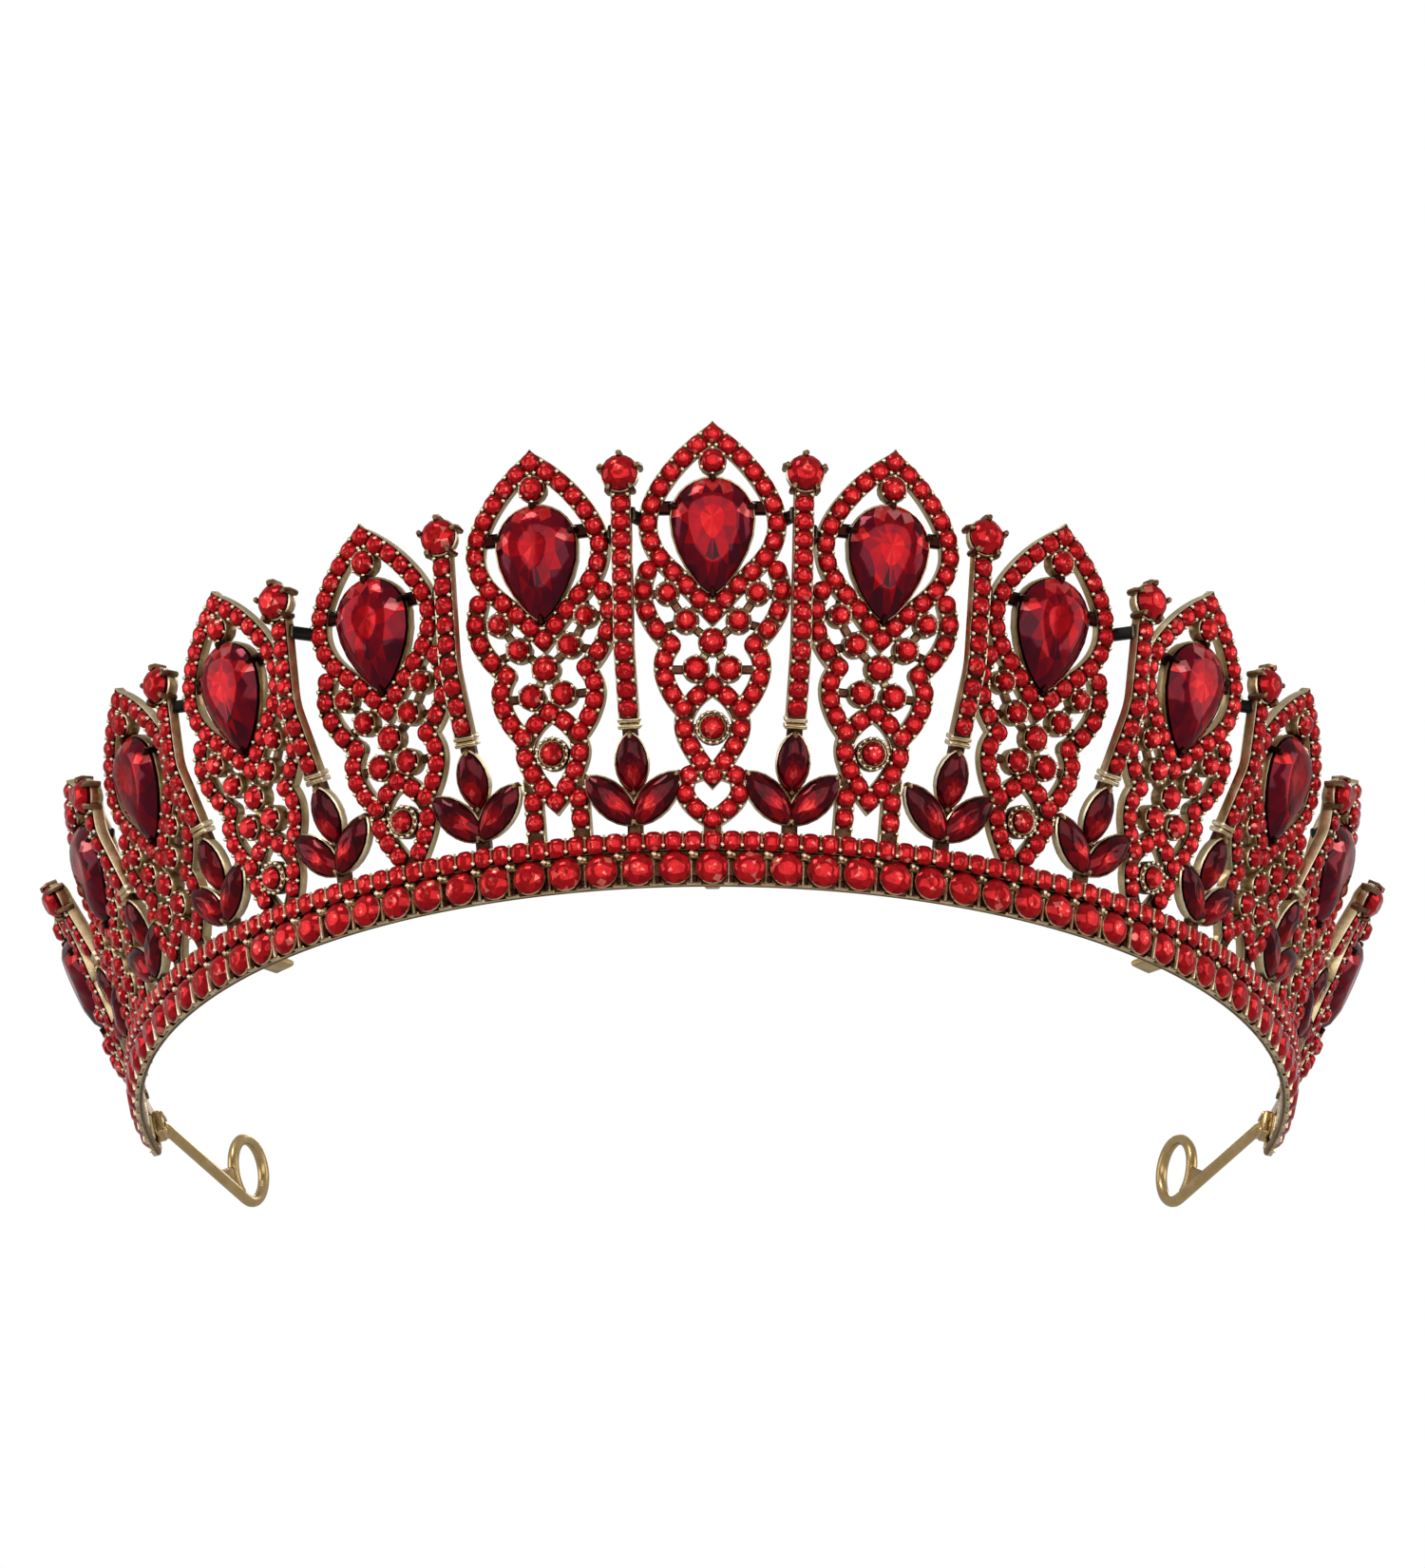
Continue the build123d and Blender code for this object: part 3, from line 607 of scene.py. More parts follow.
def claw(shapes, place, x, y, low, high, radius, lean=0.35, tone=0.6):
    """Bent claw that stands at (x, y) and grips inward over the stone's edge."""
    reach = hypot(x, y)
    ux, uy = x / reach, y / reach
    path = [
        (x, y, low),
        (x + ux * radius * 0.25, y + uy * radius * 0.25, low * 0.4 + high * 0.6),
        (x - ux * radius * lean, y - uy * radius * lean, high - radius * 0.3),
        (x - ux * radius * (lean + 0.9), y - uy * radius * (lean + 0.9), high),
    ]
    shapes.tube(place.at(path), (radius, radius, radius * 0.9, radius * 0.45), 7, tone)


# ---- materials -------------------------------------------------------------------------------
def new_material(name):
    material = bpy.data.materials.new(name)
    material.use_nodes = True
    tree = material.node_tree
    return material, tree, tree.nodes["Principled BSDF"]


def noise(tree, scale, detail=3.0, distortion=0.0):
    where = tree.nodes.new("ShaderNodeTexCoord")
    grain = tree.nodes.new("ShaderNodeTexNoise")
    grain.inputs["Scale"].default_value = scale
    grain.inputs["Detail"].default_value = detail
    grain.inputs["Distortion"].default_value = distortion
    tree.links.new(where.outputs["Object"], grain.inputs["Vector"])
    return grain.outputs["Fac"]


def maths(tree, operation, one, two, three=None):
    node = tree.nodes.new("ShaderNodeMath")
    node.operation = operation
    for socket, value in zip(node.inputs, (one, two, three)):
        if isinstance(value, (int, float)):
            socket.default_value = value
        elif value is not None:
            tree.links.new(value, socket)
    return node.outputs[0]


def ramp(tree, factor, stops):
    node = tree.nodes.new("ShaderNodeValToRGB")
    elements = node.color_ramp.elements
    while len(elements) < len(stops):
        elements.new(0.5)
    for element, (position, colour) in zip(elements, stops):
        element.position = position
        element.color = (*colour, 1)
    tree.links.new(factor, node.inputs[0])
    return node.outputs["Color"]


def tone_of(tree):
    node = tree.nodes.new("ShaderNodeAttribute")
    node.attribute_name = "tone"
    return node.outputs["Fac"]


def bump(tree, shader, height, strength, distance):
    node = tree.nodes.new("ShaderNodeBump")
    node.inputs["Strength"].default_value = strength
    node.inputs["Distance"].default_value = distance
    tree.links.new(height, node.inputs["Height"])
    tree.links.new(node.outputs["Normal"], shader.inputs["Normal"])


def metal(name, stops, rough, patina=0.5):
    """Cast metal: bright on the edges, dark in the recesses, with cloudy patina and fine grain."""
    material, tree, shader = new_material(name)
    clouds = noise(tree, 420, 5.0, 0.6)
    grain = noise(tree, 2600, 2.0)
    worn = maths(tree, "MULTIPLY_ADD", clouds, patina, tone_of(tree))
    worn = maths(tree, "MULTIPLY_ADD", grain, patina * 0.5, worn)
    level = maths(tree, "SUBTRACT", worn, patina * 0.75)
    tree.links.new(ramp(tree, level, stops), shader.inputs["Base Color"])
    tree.links.new(maths(tree, "MULTIPLY_ADD", clouds, 0.3, rough), shader.inputs["Roughness"])
    shader.inputs["Metallic"].default_value = 1.0
    bump(tree, shader, grain, 0.25, 0.00005)
    return material


def crystal(name, stops):
    """Foiled glass: each facet has its own tone, painted light and shade in place of the foil's glints and
    reflections, under a clear, glossy skin.
    """
    material, tree, shader = new_material(name)
    depth = noise(tree, 900, 2.0)
    level = maths(tree, "MULTIPLY_ADD", depth, 0.2, tone_of(tree))
    level = maths(tree, "SUBTRACT", level, 0.1)
    tree.links.new(ramp(tree, level, stops), shader.inputs["Base Color"])
    rough = maths(tree, "MULTIPLY_ADD", depth, 0.1, 0.08)
    tree.links.new(rough, shader.inputs["Roughness"])
    shader.inputs["Metallic"].default_value = 0.6
    shader.inputs["Specular IOR Level"].default_value = 0.1
    shader.inputs["Coat Weight"].default_value = 0.16
    shader.inputs["Coat Roughness"].default_value = 0.04
    return material


antique_gold = metal(
    "antique_gold",
    (
        # the two darkest stops are tinted red: painted red light thrown from the stones into the recesses, over
        # the dark patina
        (0.0, (0.024, 0.006, 0.004)),
        (0.25, (0.115, 0.048, 0.025)),
        (0.5, (0.33, 0.22, 0.11)),
        (0.78, (0.59, 0.445, 0.245)),
        (1.0, (0.92, 0.79, 0.57)),
    ),
    rough=0.2,
)
gold_wire = metal(
    "gold_wire",
    (
        (0.0, (0.06, 0.035, 0.015)),
        (0.4, (0.3, 0.19, 0.07)),
        (0.75, (0.52, 0.36, 0.16)),
        (1.0, (0.78, 0.6, 0.34)),
    ),
    rough=0.16,
    patina=0.35,
)
blackened = metal(
    "blackened_metal",
    ((0.0, (0.006, 0.006, 0.006)), (0.6, (0.03, 0.026, 0.02)), (1.0, (0.22, 0.17, 0.09))),
    rough=0.3,
)
# from painted shade on the darkest facets up to a painted pink highlight at the top stop
red_crystal = crystal(
    "red_crystal",
    (
        (0.0, (0.035, 0.0, 0.003)),
        (0.3, (0.19, 0.001, 0.004)),
        (0.6, (0.41, 0.003, 0.006)),
        (0.85, (0.55, 0.011, 0.011)),
        (1.0, (0.72, 0.17, 0.13)),
    ),
)
# from painted shade on the darkest facets up to a painted pink highlight at the top stop
ruby_glass = crystal(
    "ruby_glass",
    (
        (0.0, (0.018, 0.003, 0.005)),
        (0.25, (0.08, 0.0, 0.008)),
        (0.5, (0.19, 0.0, 0.006)),
        (0.75, (0.42, 0.0, 0.003)),
        (0.9, (0.55, 0.02, 0.02)),
        (1.0, (0.5, 0.13, 0.13)),
    ),
)
# from painted shade on the darkest facets up to a painted highlight at the top stop
garnet_glass = crystal(
    "garnet_glass",
    (
        (0.0, (0.012, 0.001, 0.003)),
        (0.3, (0.06, 0.0, 0.003)),
        (0.55, (0.15, 0.0, 0.003)),
        (0.8, (0.36, 0.001, 0.004)),
        (1.0, (0.6, 0.04, 0.035)),
    ),
)


# ---- band ------------------------------------------------------------------------------------
def row_arcs(pitch):
    count = int((BAND_END - pitch * 0.5) / pitch)
    return [pitch * i for i in range(-count, count + 1)]


def gaps(pitch):
    arcs = row_arcs(pitch)
    return [arcs[0] - pitch / 2] + [arc + pitch / 2 for arc in arcs]


def kept_on(arc, margin):
    """The arc, moved in where it is nearer the band's end than the margin."""
    return max(min(arc, BAND_END - margin), margin - BAND_END)


def make_rail():
    rail = Shapes()
    rings = []
    for arc in np.linspace(-BAND_END, BAND_END, BAND_STEPS):
        _, out = directions(arc)
        rings.append([np.array([0, RING_Y, z]) + out * leaning(radius, z) for radius, z, _ in SECTION])
    rail.rings(rings, [[tone for _, _, tone in SECTION]] * BAND_STEPS)
    for arc in gaps(LARGE_PITCH):
        rung = band_place(kept_on(arc, RUNG_MARGIN), INNER, ROW_Z)
        rail.stack(rung, [(rounded_rectangle(width, RUNG_LENGTH, 0.3), z, t) for width, z, t in RUNG_LAYERS])
    rail.build("band_rail", ["base_rail"], "antique_gold", antique_gold)


def make_large_row():
    cups, stones = Shapes(), Shapes()
    for arc in row_arcs(LARGE_PITCH):
        place = band_place(arc, CUP_FOOT, ROW_Z)
        cup(cups, place, LARGE_STONE / 2 + 0.08, CUP_SINK, 0.65, 0.6, 18)
        round_stone(stones, place, LARGE_STONE, 0.35, 0.35, 0.8)
    for arc in gaps(LARGE_PITCH):
        place = band_place(kept_on(arc, LARGE_GAP_MARGIN), CUP_FOOT, ROW_Z)
        # bridge to the upper row with two grains, dark bridge below, upright claw, foot on the lip
        cups.block(place.moved(0, 1.5, CUP_SINK), (1.3, 1.1, 0.85), 0.25, 0.35)
        cups.dot(place.at((-0.25, 1.65, 0.85)), 0.36)
        cups.dot(place.at((0.3, 1.5, 0.8)), 0.3, 0.75)
        cups.block(place.moved(0, -1.45, CUP_SINK), (0.9, 1.0, 0.6), 0.2, -0.3)
        cups.block(place.moved(dice.choice((-0.3, 0.3)), -0.55, CUP_SINK), (0.22, 2.8, 1.15), 0.1, 0.8)
        cups.block(place.moved(0, -2.0, CUP_SINK), (1.7, 0.3, 0.9), 0.12, 0.7)
    cups.build("large_cup_row", ["lower_cup_row"], "antique_gold", antique_gold)
    stones.build("large_band_crystals", ["large_band_stones"], "red_crystal", red_crystal)


def make_small_row():
    cups, stones = Shapes(), Shapes()
    outline = rounded_rectangle(*SMALL_STONE)
    for arc in row_arcs(SMALL_PITCH):
        place = band_place(arc, CUP_FOOT, UPPER_ROW_Z)
        cups.block(place.moved(0, 0, CUP_SINK), (2.3, 1.75, 0.75), 0.2, 0.15)
        seat = place.moved(0, -SMALL_STONE_DROP)
        cut_stone(stones, seat, outline, (0.45, 0.8, 1.1, 1.3), (0.95, 0.8, 0.55), round_shade)
    for arc in gaps(SMALL_PITCH):
        place = band_place(kept_on(arc, SMALL_GAP_MARGIN), CUP_FOOT, UPPER_ROW_Z)
        cups.block(place.moved(0, 0.1, CUP_SINK), (0.24, 1.7, 1.25), 0.1, 0.75)
        cups.dot(place.at((0, -0.72, 1.05)), 0.28)
        cups.dot(place.at((0, 0.75, 0.95)), 0.24, 0.7)
    cups.build("small_cup_row", ["upper_cup_row"], "antique_gold", antique_gold)
    stones.build("small_band_crystals", ["small_band_stones"], "red_crystal", red_crystal)


make_rail()
make_large_row()
make_small_row()


# ---- spires ----------------------------------------------------------------------------------
def spire_lines(index):
    lines = [MAIN_LEAF, UPPER_LOBE, LOWER_LOBE, SMALL_LEAF]
    if index == 0:
        lines += [HEART, HEART_TOP]
    if index == 1:
        lines.append(SECOND_LEG)
    return lines


def spire_gems(index):
    floor = GEMS_FROM + SPIRE_DROPS[index]
    gems = [gem for gem in GEMS if gem[1] - gem[2] / 2 > floor]
    return gems + [(-u, v, size) for u, v, size in gems if u]


def spire_beads(index):
    """Places of the bead stones, and of the pairs of grains between them."""
    floor = BEADS_FROM + SPIRE_DROPS[index]
    gems = [(u, v, size / 2) for u, v, size in spire_gems(index)]
    taken = list(gems)
    beads, grains = [], []
    for line in spire_lines(index):
        dense = smooth_line(line)
        total = length_of(dense)
        count = max(round(total / BEAD_PITCH), 1)
        for u, v in spaced(dense, np.linspace(0, total, count + 1)):
            for side in (1, -1):
                near = any(hypot(side * u - a, v - b) < r + BEAD / 2 + BEAD_GAP for a, b, r in taken)
                if v > floor and not near:
                    beads.append((side * u, v))
                    taken.append((side * u, v, BEAD / 2))
        middles = (np.arange(count) + 0.5) * total / count
        flow = spaced(dense, middles + 0.05) - spaced(dense, middles - 0.05)
        for (u, v), (fu, fv) in zip(spaced(dense, middles), flow):
            size = hypot(fu, fv)
            for edge in (1, -1):
                a, b = u + edge * GRAIN_OFFSET * fv / size, v - edge * GRAIN_OFFSET * fu / size
                near = any(hypot(a - c, b - d) < r + GRAIN_GAP for c, d, r in gems)
                if v > floor and a > GRAIN_GAP and not near:
                    grains += [(a, b), (-a, b)]
    return beads, grains


def reach_axis(line):
    """The line, run on past the middle where it ends there, so that both halves meet in a mitre."""
    dense = evenly(smooth_line(line), 0.5)
    start, stop = dense[0], dense[-1]
    if abs(start[0]) < 0.01:
        dense = np.vstack([start + unit(dense[0] - dense[1]) * STRIP_MITRE, dense])
    if abs(stop[0]) < 0.01:
        dense = np.vstack([dense, stop + unit(dense[-1] - dense[-2]) * STRIP_MITRE])
    return dense


def add_strips(casting, index, place):
    layer = 0.0
    for line in spire_lines(index):
        for side in (1, -1):
            layer += STRIP_STEP
            profile = channel(STRIP_HALF, CAST_FRONT - layer, CAST_BACK + layer)
            casting.ribbon(place, reach_axis(line), profile, side=side)
            for u, v in (line[0], line[-1]):
                if u:
                    casting.stack(place.moved(side * u, v), turned(STRIP_END, 14))
    if index == 0:
        profile = channel(STRIP_HALF, CAST_FRONT - 0.1, CAST_BACK + 0.1)
        casting.ribbon(place, smooth_line(HEART_FOOT, 4), profile)
    for start, stop, tone in WEBS:
        for side in ((1, -1) if start[0] or stop[0] else (1,)):
            layer += WEB_STEP
            line = smooth_line(((start[0] * side, start[1]), (stop[0] * side, stop[1])), 3)
            casting.ribbon(place, line, bar(WEB_HALF, -0.75 - layer, CAST_BACK + 0.1 + layer, tone))


def add_gem(casting, spot, size, ringed):
    """Gem in its cup, with claws or, where it is ringed, with a wreath of grains on a wider cup."""
    cup(casting, spot, size / 2 + 0.3, CAST_BACK + 0.05, 0.12, 0.6, 16)
    if ringed:
        cup(casting, spot, size / 2 + 0.7, CAST_BACK + 0.1, -0.1, 0.15, 20)
    count, offset, z, grain = (14, 0.5, 0.1, 0.26) if ringed else (6, 0.12, 0.3, 0.24)
    for turn in np.arange(count) * 2 * pi / count + pi / 6:
        radius = size / 2 + offset
        casting.dot(spot.at((radius * cos(turn), radius * sin(turn), z)), grain, 0.95)
    round_stone(gem_stones, spot, size, *GEM_SHAPE)


def add_pear_setting(casting, place, pear):
    for side in (1, -1):
        bar_line = smooth_line([(u * side, v) for u, v in PEAR_BAR], 3)
        casting.ribbon(place, bar_line, bar(PEAR_BAR_HALF, -0.5, CAST_BACK + 0.2, -0.2))
    hoop = [(pear_outline(grow=grow), z, tone) for grow, z, tone in PEAR_HOOP]
    casting.stack(pear, hoop, closed=True)
    for turn in PEAR_CLAWS:
        edge = pear_outline(sides=360)[turn]
        x, y = edge * (1 + 0.1 / np.hypot(*edge))
        claw(casting, pear, x, y, -0.8, 1.3, 0.5, 0.2, -0.05)


def make_spire(index, place, ending):
    casting = Shapes()
    add_strips(casting, index, place)
    for u, v, size in spire_gems(index):
        add_gem(casting, place.moved(u, v), size, v == RINGED_GEM)
    beads, grains = spire_beads(index)
    for u, v in beads:
        round_stone(bead_stones, place.moved(u, v, CAST_FRONT), BEAD_WIDTH, *BEAD_SHAPE)
    for u, v in grains:
        casting.dot(place.at((u, v, CAST_FRONT + 0.42)), GRAIN)
    pear = place.moved(0, PEAR_V, CAST_FRONT)
    add_pear_setting(casting, place, pear)
    casting.build(f"leaf_spire_{ending}", [f"spire_{ending}"], "antique_gold", antique_gold, trim=True)
    stone = Shapes()
    cut_stone(stone, pear, pear_outline(), (0.0, 0.75, 1.75, 2.3), (0.95, 0.83, 0.6), pear_shade, sink=0.12)
    stone.build(f"pear_crystal_{ending}", [f"pear_stone_{ending}"], "ruby_pear_stone", ruby_glass)


def units(count, centre):
    """Index, side and name ending of each unit from left to right; with centre 1 the first is in the middle."""
    rows = [(i, -1, f"left_{i + 1 - centre}") for i in range(count - 1, centre - 1, -1)]
    if centre:
        rows.append((0, 1, "centre"))
    return rows + [(i, 1, f"right_{i + 1 - centre}") for i in range(centre, count)]


gem_stones, bead_stones = Shapes(), Shapes()
spires = {}
for index, side, ending in units(len(SPIRE_ARCS), 1):
    lean = END_LEAN if index == len(SPIRE_ARCS) - 1 else LEAN
    spires[index, side] = motif_place(side * SPIRE_ARCS[index], lean, SPIRE_DROPS[index])
    make_spire(index, spires[index, side], ending)
gem_stones.build("round_gem_crystals", ["round_gems"], "red_crystal", red_crystal)
bead_stones.build("strip_bead_crystals", ["bead_stones"], "red_crystal", red_crystal)


# ---- posts -----------------------------------------------------------------------------------
def post_reach(index, height):
    """How far outward of ARC_RADIUS a post stands at a height above its knee."""
    if height > SHOULDER_HEIGHT:
        return SHOULDER_REACHES[index] + POST_RISE * (height - SHOULDER_HEIGHT)
    slope = (SHOULDER_REACHES[index] - POST_KNEE[0]) / (SHOULDER_HEIGHT - POST_KNEE[1])
    return POST_KNEE[0] + slope * (height - POST_KNEE[1])


def post_line(index):
    height = FINIAL_HEIGHTS[index]
    shoulder = (SHOULDER_REACHES[index], SHOULDER_HEIGHT)
    top = (post_reach(index, height), height)
    if height - SHOULDER_HEIGHT > SHORT_TOP:
        return filleted((POST_FOOT, POST_KNEE, shoulder, top), POST_BEND)
    return filleted((POST_FOOT, POST_KNEE, top), POST_BEND)


def post_place(arc, line, distance, lift=POST_DEPTH / 2):
    """Place on the stone side of a post, at a distance along it from its foot."""
    side, out = directions(arc)
    nearby = [distance, max(distance - 0.2, 0), min(distance + 0.2, length_of(line))]
    here, behind, ahead = spaced(line, nearby)
    along = unit(ahead - behind)
    up = out * along[0] + np.array([0, 0, along[1]])
    front = np.cross(side, up)
    base = side_place(arc).at((here[0], here[1], 0))
    return Place(base + front * lift, side, front)


def add_shaft(casting, arc, line):
    """Bare stem, collar, and a strip of stones up to the finial."""
    total = length_of(line)
    edge = side_place(arc)
    lower = spaced(line, np.linspace(0, COLLAR_AT, 30))
    upper = spaced(line, np.linspace(COLLAR_AT, total - 0.3, int(total - COLLAR_AT) + 2))
    stem = bar(POST_STEM_HALF, POST_DEPTH / 2, -POST_DEPTH / 2, 0.1)
    strip = channel(POST_STRIP_HALF, POST_DEPTH / 2, -POST_DEPTH / 2)
    casting.ribbon(edge, lower, stem, edge_on=True)
    casting.ribbon(edge, upper, strip, edge_on=True)
    for lift in (-0.4, 0.4):
        collar = post_place(arc, line, COLLAR_AT + lift, 0)
        casting.block(collar.moved(0, 0, -1.0), COLLAR_RING, 0.22, 0.85)
    room = total - FINIAL_CUP / 2 - BEAD / 2 - TOP_STONE_GAP - FIRST_STONE_AT
    count = round(room / BEAD_PITCH)
    for i in range(count + 1):
        distance = FIRST_STONE_AT + i * room / count
        round_stone(post_stones, post_place(arc, line, distance), BEAD_WIDTH, *BEAD_SHAPE)
        between = post_place(arc, line, distance + room / count / 2)
        for offset in (-0.88, 0.88):
            casting.dot(between.at((offset, 0, 0.42)), 0.28)


def add_finial(casting, top):
    casting.stack(top, turned(FINIAL_TURNING, 20))
    reach = FINIAL / 2 + 0.25
    for i in range(FINIAL_CLAWS):
        turn = radians(90 + i * 360 // FINIAL_CLAWS)
        claw(casting, top, reach * cos(turn), reach * sin(turn), -0.9, 1.5, 0.42, 0.3, 0.35)
    round_stone(finial_stones, top, FINIAL, *FINIAL_SHAPE)


def grown_marquise(length, grow):
    return marquise_outline(length + grow * 2.4, MARQUISE_WIDTH + grow * 2)


def add_marquises(casting, arc, line):
    base = motif_place(arc, LEAN, 0)
    seats = [post_place(arc, line, MARQUISE_AT)]
    for side in (1, -1):
        x, y = SIDE_MARQUISE
        seats.append(base.moved(side * x, y, CAST_FRONT + 0.2, -side * SIDE_TILT))
    for seat, length in zip(seats, MARQUISE_LENGTHS):
        loops = [(grown_marquise(length, grow), z, tone) for grow, z, tone in MARQUISE_CUP]
        casting.stack(seat, loops)
        for end in (1, -1):
            claw(casting, seat, 0.01, end * (length / 2 + 0.1), -0.6, 0.85, 0.34, 0.5, 0.5)
        outline = grown_marquise(length, 0.0)
        heights, scales = (0.0, 0.5, 1.05, 1.4), (0.95, 0.78, 0.5)
        cut_stone(marquise_stones, seat, outline, heights, scales, marquise_shade, sink=0.08)


def make_post(index, arc, ending):
    casting = Shapes()
    line = post_line(index)
    add_shaft(casting, arc, line)
    add_finial(casting, post_place(arc, line, length_of(line)))
    add_marquises(casting, arc, line)
    casting.build(f"post_casting_{ending}", [f"post_{ending}"], "antique_gold", antique_gold, trim=True)


post_stones, finial_stones, marquise_stones = Shapes(), Shapes(), Shapes()
for index, side, ending in units(len(POST_ARCS), 0):
    make_post(index, side * POST_ARCS[index], ending)
post_stones.build("post_bead_stones", ["post_stones"], "red_crystal", red_crystal)
finial_stones.build("finial_crystals", ["finial_stones"], "red_crystal", red_crystal)
marquise_stones.build("marquise_crystals", ["marquise_stones"], "garnet_marquise_stone", garnet_glass)


# ---- links -----------------------------------------------------------------------------------
def add_link(links, start, stop):
    along = unit(stop - start)
    place = Place(start - along * 0.4, (0, 0, 1), along)
    span = float(np.linalg.norm(stop - start)) + 0.6
    layers = LINK_END + tuple((width, span - z, tone) for width, z, tone in reversed(LINK_END))
    links.stack(place, [(rounded_rectangle(width, width * 0.75, 0.3), z, tone) for width, z, tone in layers])


def make_links():
    links = Shapes()
    for index, side, _ in units(len(POST_ARCS), 0):
        across, out = directions(side * POST_ARCS[index])
        for spire, face in ((index, side), (index + 1, -side)):
            leaf = spires[spire, 1 if spire == 0 else side]
            start = leaf.at((face * LINK_U, LINK_V, CAST_FRONT - 0.7))
            height = start[2] - ROW_Z
            if height > FINIAL_HEIGHTS[index] - LINK_BELOW:
                continue
            post = np.array([0, RING_Y, start[2]]) + out * (ARC_RADIUS + post_reach(index, height))
            add_link(links, start, post - across * face * (POST_WIDTH / 2 - LINK_SINK))
    links.build("blackened_links", ["link_bars"], "blackened_link", blackened)


make_links()


# ---- end clips, wire loops and inner tabs ----------------------------------------------------
def make_clip(side, label):
    clip = Shapes()
    place = band_place(side * CLIP_ARC, INNER, CLIP_Z).moved(0, 0, -1.4)
    clip.block(place, (3.4, 3.4, 1.45), 0.35, 0.65)
    clip.block(place.moved(0, 1.2, -0.25), (3.1, 0.7, 0.6), 0.2, 0.8)
    clip.block(place.moved(0, -1.2, -0.25), (3.1, 0.7, 0.6), 0.2, 0.8)
    clip.build(f"{label}_clip", [f"{label}_end_clip"], "gold_wire", gold_wire)


def loop_line():
    """Flat line of the wire: a straight shank that turns into the ring."""
    rise = LOOP_Z - SHANK_Z
    slope = atan2(rise, LOOP_DISTANCE) - atan2(LOOP_RADIUS, hypot(LOOP_DISTANCE, rise))
    turns = slope - pi / 2 + np.linspace(0, radians(LOOP_SWEEP), LOOP_POINTS)
    ring = np.stack([LOOP_DISTANCE + LOOP_RADIUS * np.cos(turns), LOOP_Z + LOOP_RADIUS * np.sin(turns)], 1)
    return np.vstack([np.linspace((0, SHANK_Z), ring[0], 24)[:-1], ring])


def make_wire(side, label):
    turn = radians(LOOP_TURN)
    back = np.array([-side * sin(turn), cos(turn), 0])
    _, out = directions(side * CLIP_ARC)
    place = Place(np.array([0, RING_Y, 0]) + out * (INNER - SHANK_INSET), back, np.cross(back, (0, 0, 1)))
    line = loop_line()
    wire = Shapes()
    radii = np.full(len(line), WIRE)
    radii[0], radii[-1] = WIRE * 0.7, WIRE * 0.6
    wire.tube(place.at(np.column_stack([line, np.zeros(len(line))])), radii, 16, 0.75, normal=place.z)
    solder = np.array([(LOOP_DISTANCE - x, y) for x, y in SOLDER])
    middle = np.mean(solder, axis=0)
    layers = ((0.7, -WIRE * 0.7), (1.0, -WIRE * 0.45), (1.0, WIRE * 0.45), (0.7, WIRE * 0.7))
    wire.stack(place, [(middle + (solder - middle) * shrink, z, 0.6) for shrink, z in layers])
    wire.build(f"{label}_wire", [f"{label}_wire_loop"], "gold_wire", gold_wire)


def make_tabs():
    tabs = Shapes()
    for arc, width, depth in TABS:
        place = band_place(arc, INNER - depth / 2 + 0.1, TAB_FOOT, 0)
        flat = Place(place.origin, place.x, (0, 0, 1))
        tabs.block(flat, (width, depth, TAB_THICKNESS), 0.2, 0.75)
        tabs.block(flat.moved(0, 0, 0.35), (width * 0.45, depth * 0.9, 0.7), 0.2, 0.6)
    tabs.build("inside_tabs", ["inner_tabs"], "gold_wire", gold_wire)


for end, label in ((1, "right"), (-1, "left")):
    make_clip(end, label)
    make_wire(end, label)
make_tabs()


# ---- stage: floor, lights and camera, in metres and degrees ---------------------------------------
FLOOR = 3.0  # half its width
TARGET = (0, 0, 0.03)
VIEW_DISTANCE = 0.7
VIEW_DIP = 22.1  # how far below the band the camera stands
VIEW_TILT = 25.66  # how far it looks up


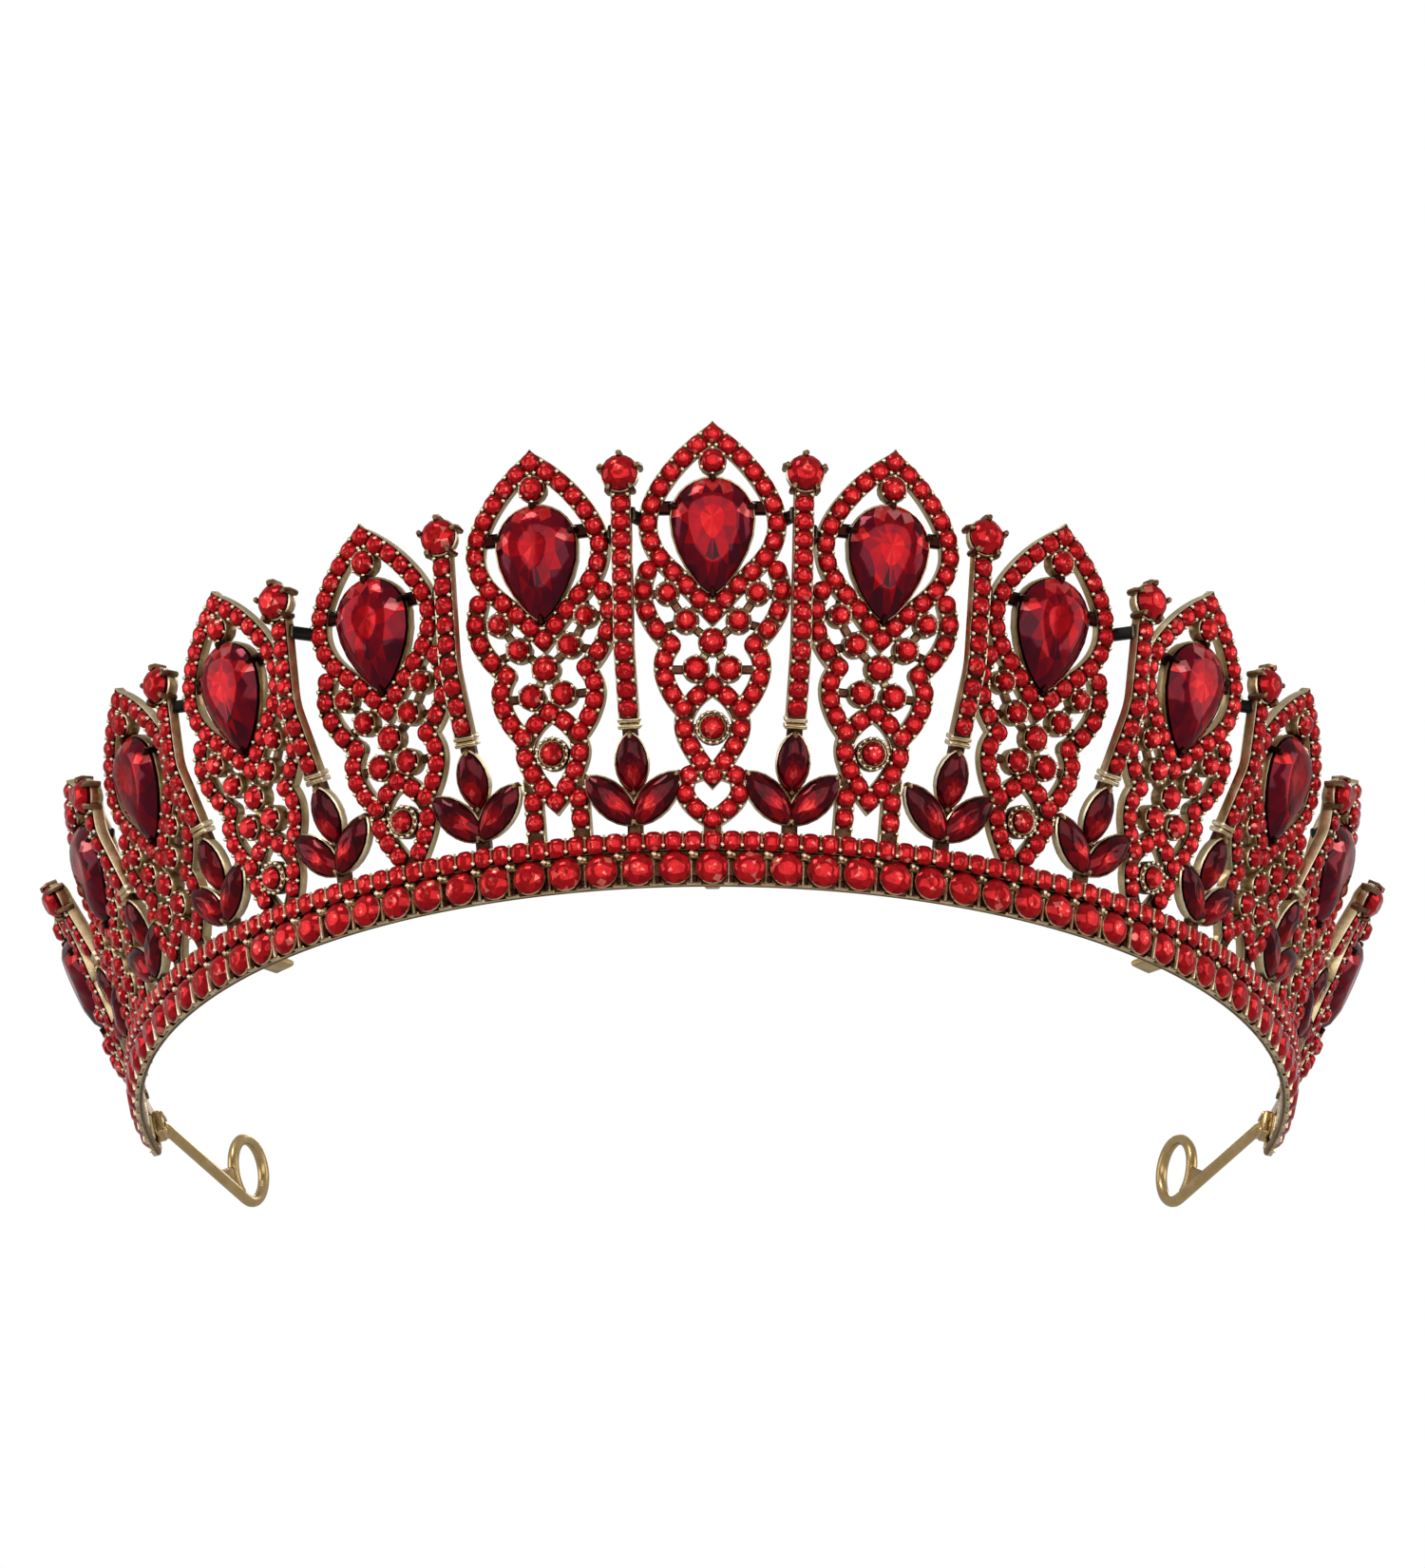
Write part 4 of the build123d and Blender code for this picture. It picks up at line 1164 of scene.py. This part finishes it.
def make_floor():
    """Pale floor that fades into an even white backdrop before it reaches the lamps."""
    mesh = bpy.data.meshes.new("floor")
    corners = [(-FLOOR, -FLOOR, 0), (FLOOR, -FLOOR, 0), (FLOOR, FLOOR, 0), (-FLOOR, FLOOR, 0)]
    mesh.from_pydata(corners, [], [(0, 1, 2, 3)])
    floor = bpy.data.objects.new("floor", mesh)
    bpy.context.scene.collection.objects.link(floor)
    material, tree, shader = new_material("pale_floor")
    where = tree.nodes.new("ShaderNodeTexCoord")
    reach = tree.nodes.new("ShaderNodeVectorMath")
    reach.operation = "LENGTH"
    tree.links.new(where.outputs["Object"], reach.inputs[0])
    away = maths(tree, "MULTIPLY_ADD", noise(tree, 3.0), 0.05, reach.outputs["Value"])
    lit = ((0.2, (0.38, 0.38, 0.375)), (0.55, (0.08, 0.08, 0.08)), (0.8, (0.0, 0.0, 0.0)))
    glowing = ((0.2, (0.43, 0.43, 0.425)), (0.55, (0.85, 0.85, 0.845)), (0.8, (1.0, 1.0, 1.0)))
    shade, glow = ramp(tree, away, lit), ramp(tree, away, glowing)
    tree.links.new(shade, shader.inputs["Base Color"])
    tree.links.new(glow, shader.inputs["Emission Color"])
    shader.inputs["Roughness"].default_value = 0.8
    shader.inputs["Specular IOR Level"].default_value = 0.0
    shader.inputs["Emission Strength"].default_value = 1.0
    # seen from below it is clear, and the crown gets no light or shadow from it
    side = tree.nodes.new("ShaderNodeNewGeometry")
    clear = tree.nodes.new("ShaderNodeBsdfTransparent")
    mix = tree.nodes.new("ShaderNodeMixShader")
    tree.links.new(side.outputs["Backfacing"], mix.inputs[0])
    tree.links.new(shader.outputs[0], mix.inputs[1])
    tree.links.new(clear.outputs[0], mix.inputs[2])
    tree.links.new(mix.outputs[0], tree.nodes["Material Output"].inputs["Surface"])
    mesh.materials.append(material)
    floor.visible_diffuse = floor.visible_glossy = floor.visible_shadow = False


def softbox(name, place, aim, size, power):
    light = bpy.data.lights.new(name, "AREA")
    light.shape = "RECTANGLE"
    light.size, light.size_y = size
    light.energy = power
    lamp = bpy.data.objects.new(name, light)
    lamp.location = place
    lamp.visible_camera = False
    toward = Vector(aim) - Vector(place)
    lamp.rotation_euler = toward.to_track_quat("-Z", "Y").to_euler()
    bpy.context.scene.collection.objects.link(lamp)


def make_world():
    world = bpy.data.worlds.new("studio")
    bpy.context.scene.world = world
    world.use_nodes = True
    tree = world.node_tree
    background = tree.nodes["Background"]
    background.inputs["Color"].default_value = (1, 1, 1, 1)
    path = tree.nodes.new("ShaderNodeLightPath")
    strength = maths(tree, "MULTIPLY_ADD", path.outputs["Is Camera Ray"], 0.5, 0.5)
    tree.links.new(strength, background.inputs["Strength"])


make_floor()
make_world()
softbox("key", (-0.45, -0.7, 0.75), (0, -0.03, 0.03), (0.35, 0.35), 3.5)
softbox("front", (0.1, -1.0, -0.15), TARGET, (1.4, 0.7), 5.0)
softbox("left", (-0.9, -0.2, 0.1), TARGET, (0.6, 0.5), 1.8)
softbox("right", (0.9, -0.2, 0.1), TARGET, (0.6, 0.5), 1.8)
softbox("back", (0.2, 0.8, 0.7), TARGET, (0.8, 0.4), 3.0)

camera = bpy.data.cameras.new("camera")
camera.lens = 119.3
camera.sensor_width = 36
camera.clip_start = 0.01
viewer = bpy.data.objects.new("camera", camera)
dip = radians(VIEW_DIP)
viewer.location = (0, RING_Y * MM - VIEW_DISTANCE * cos(dip), ROW_Z * MM - VIEW_DISTANCE * sin(dip))
viewer.rotation_euler = (pi / 2 + radians(VIEW_TILT), 0, 0)
bpy.context.scene.collection.objects.link(viewer)
bpy.context.scene.camera = viewer
bpy.context.scene.view_settings.view_transform = "Standard"
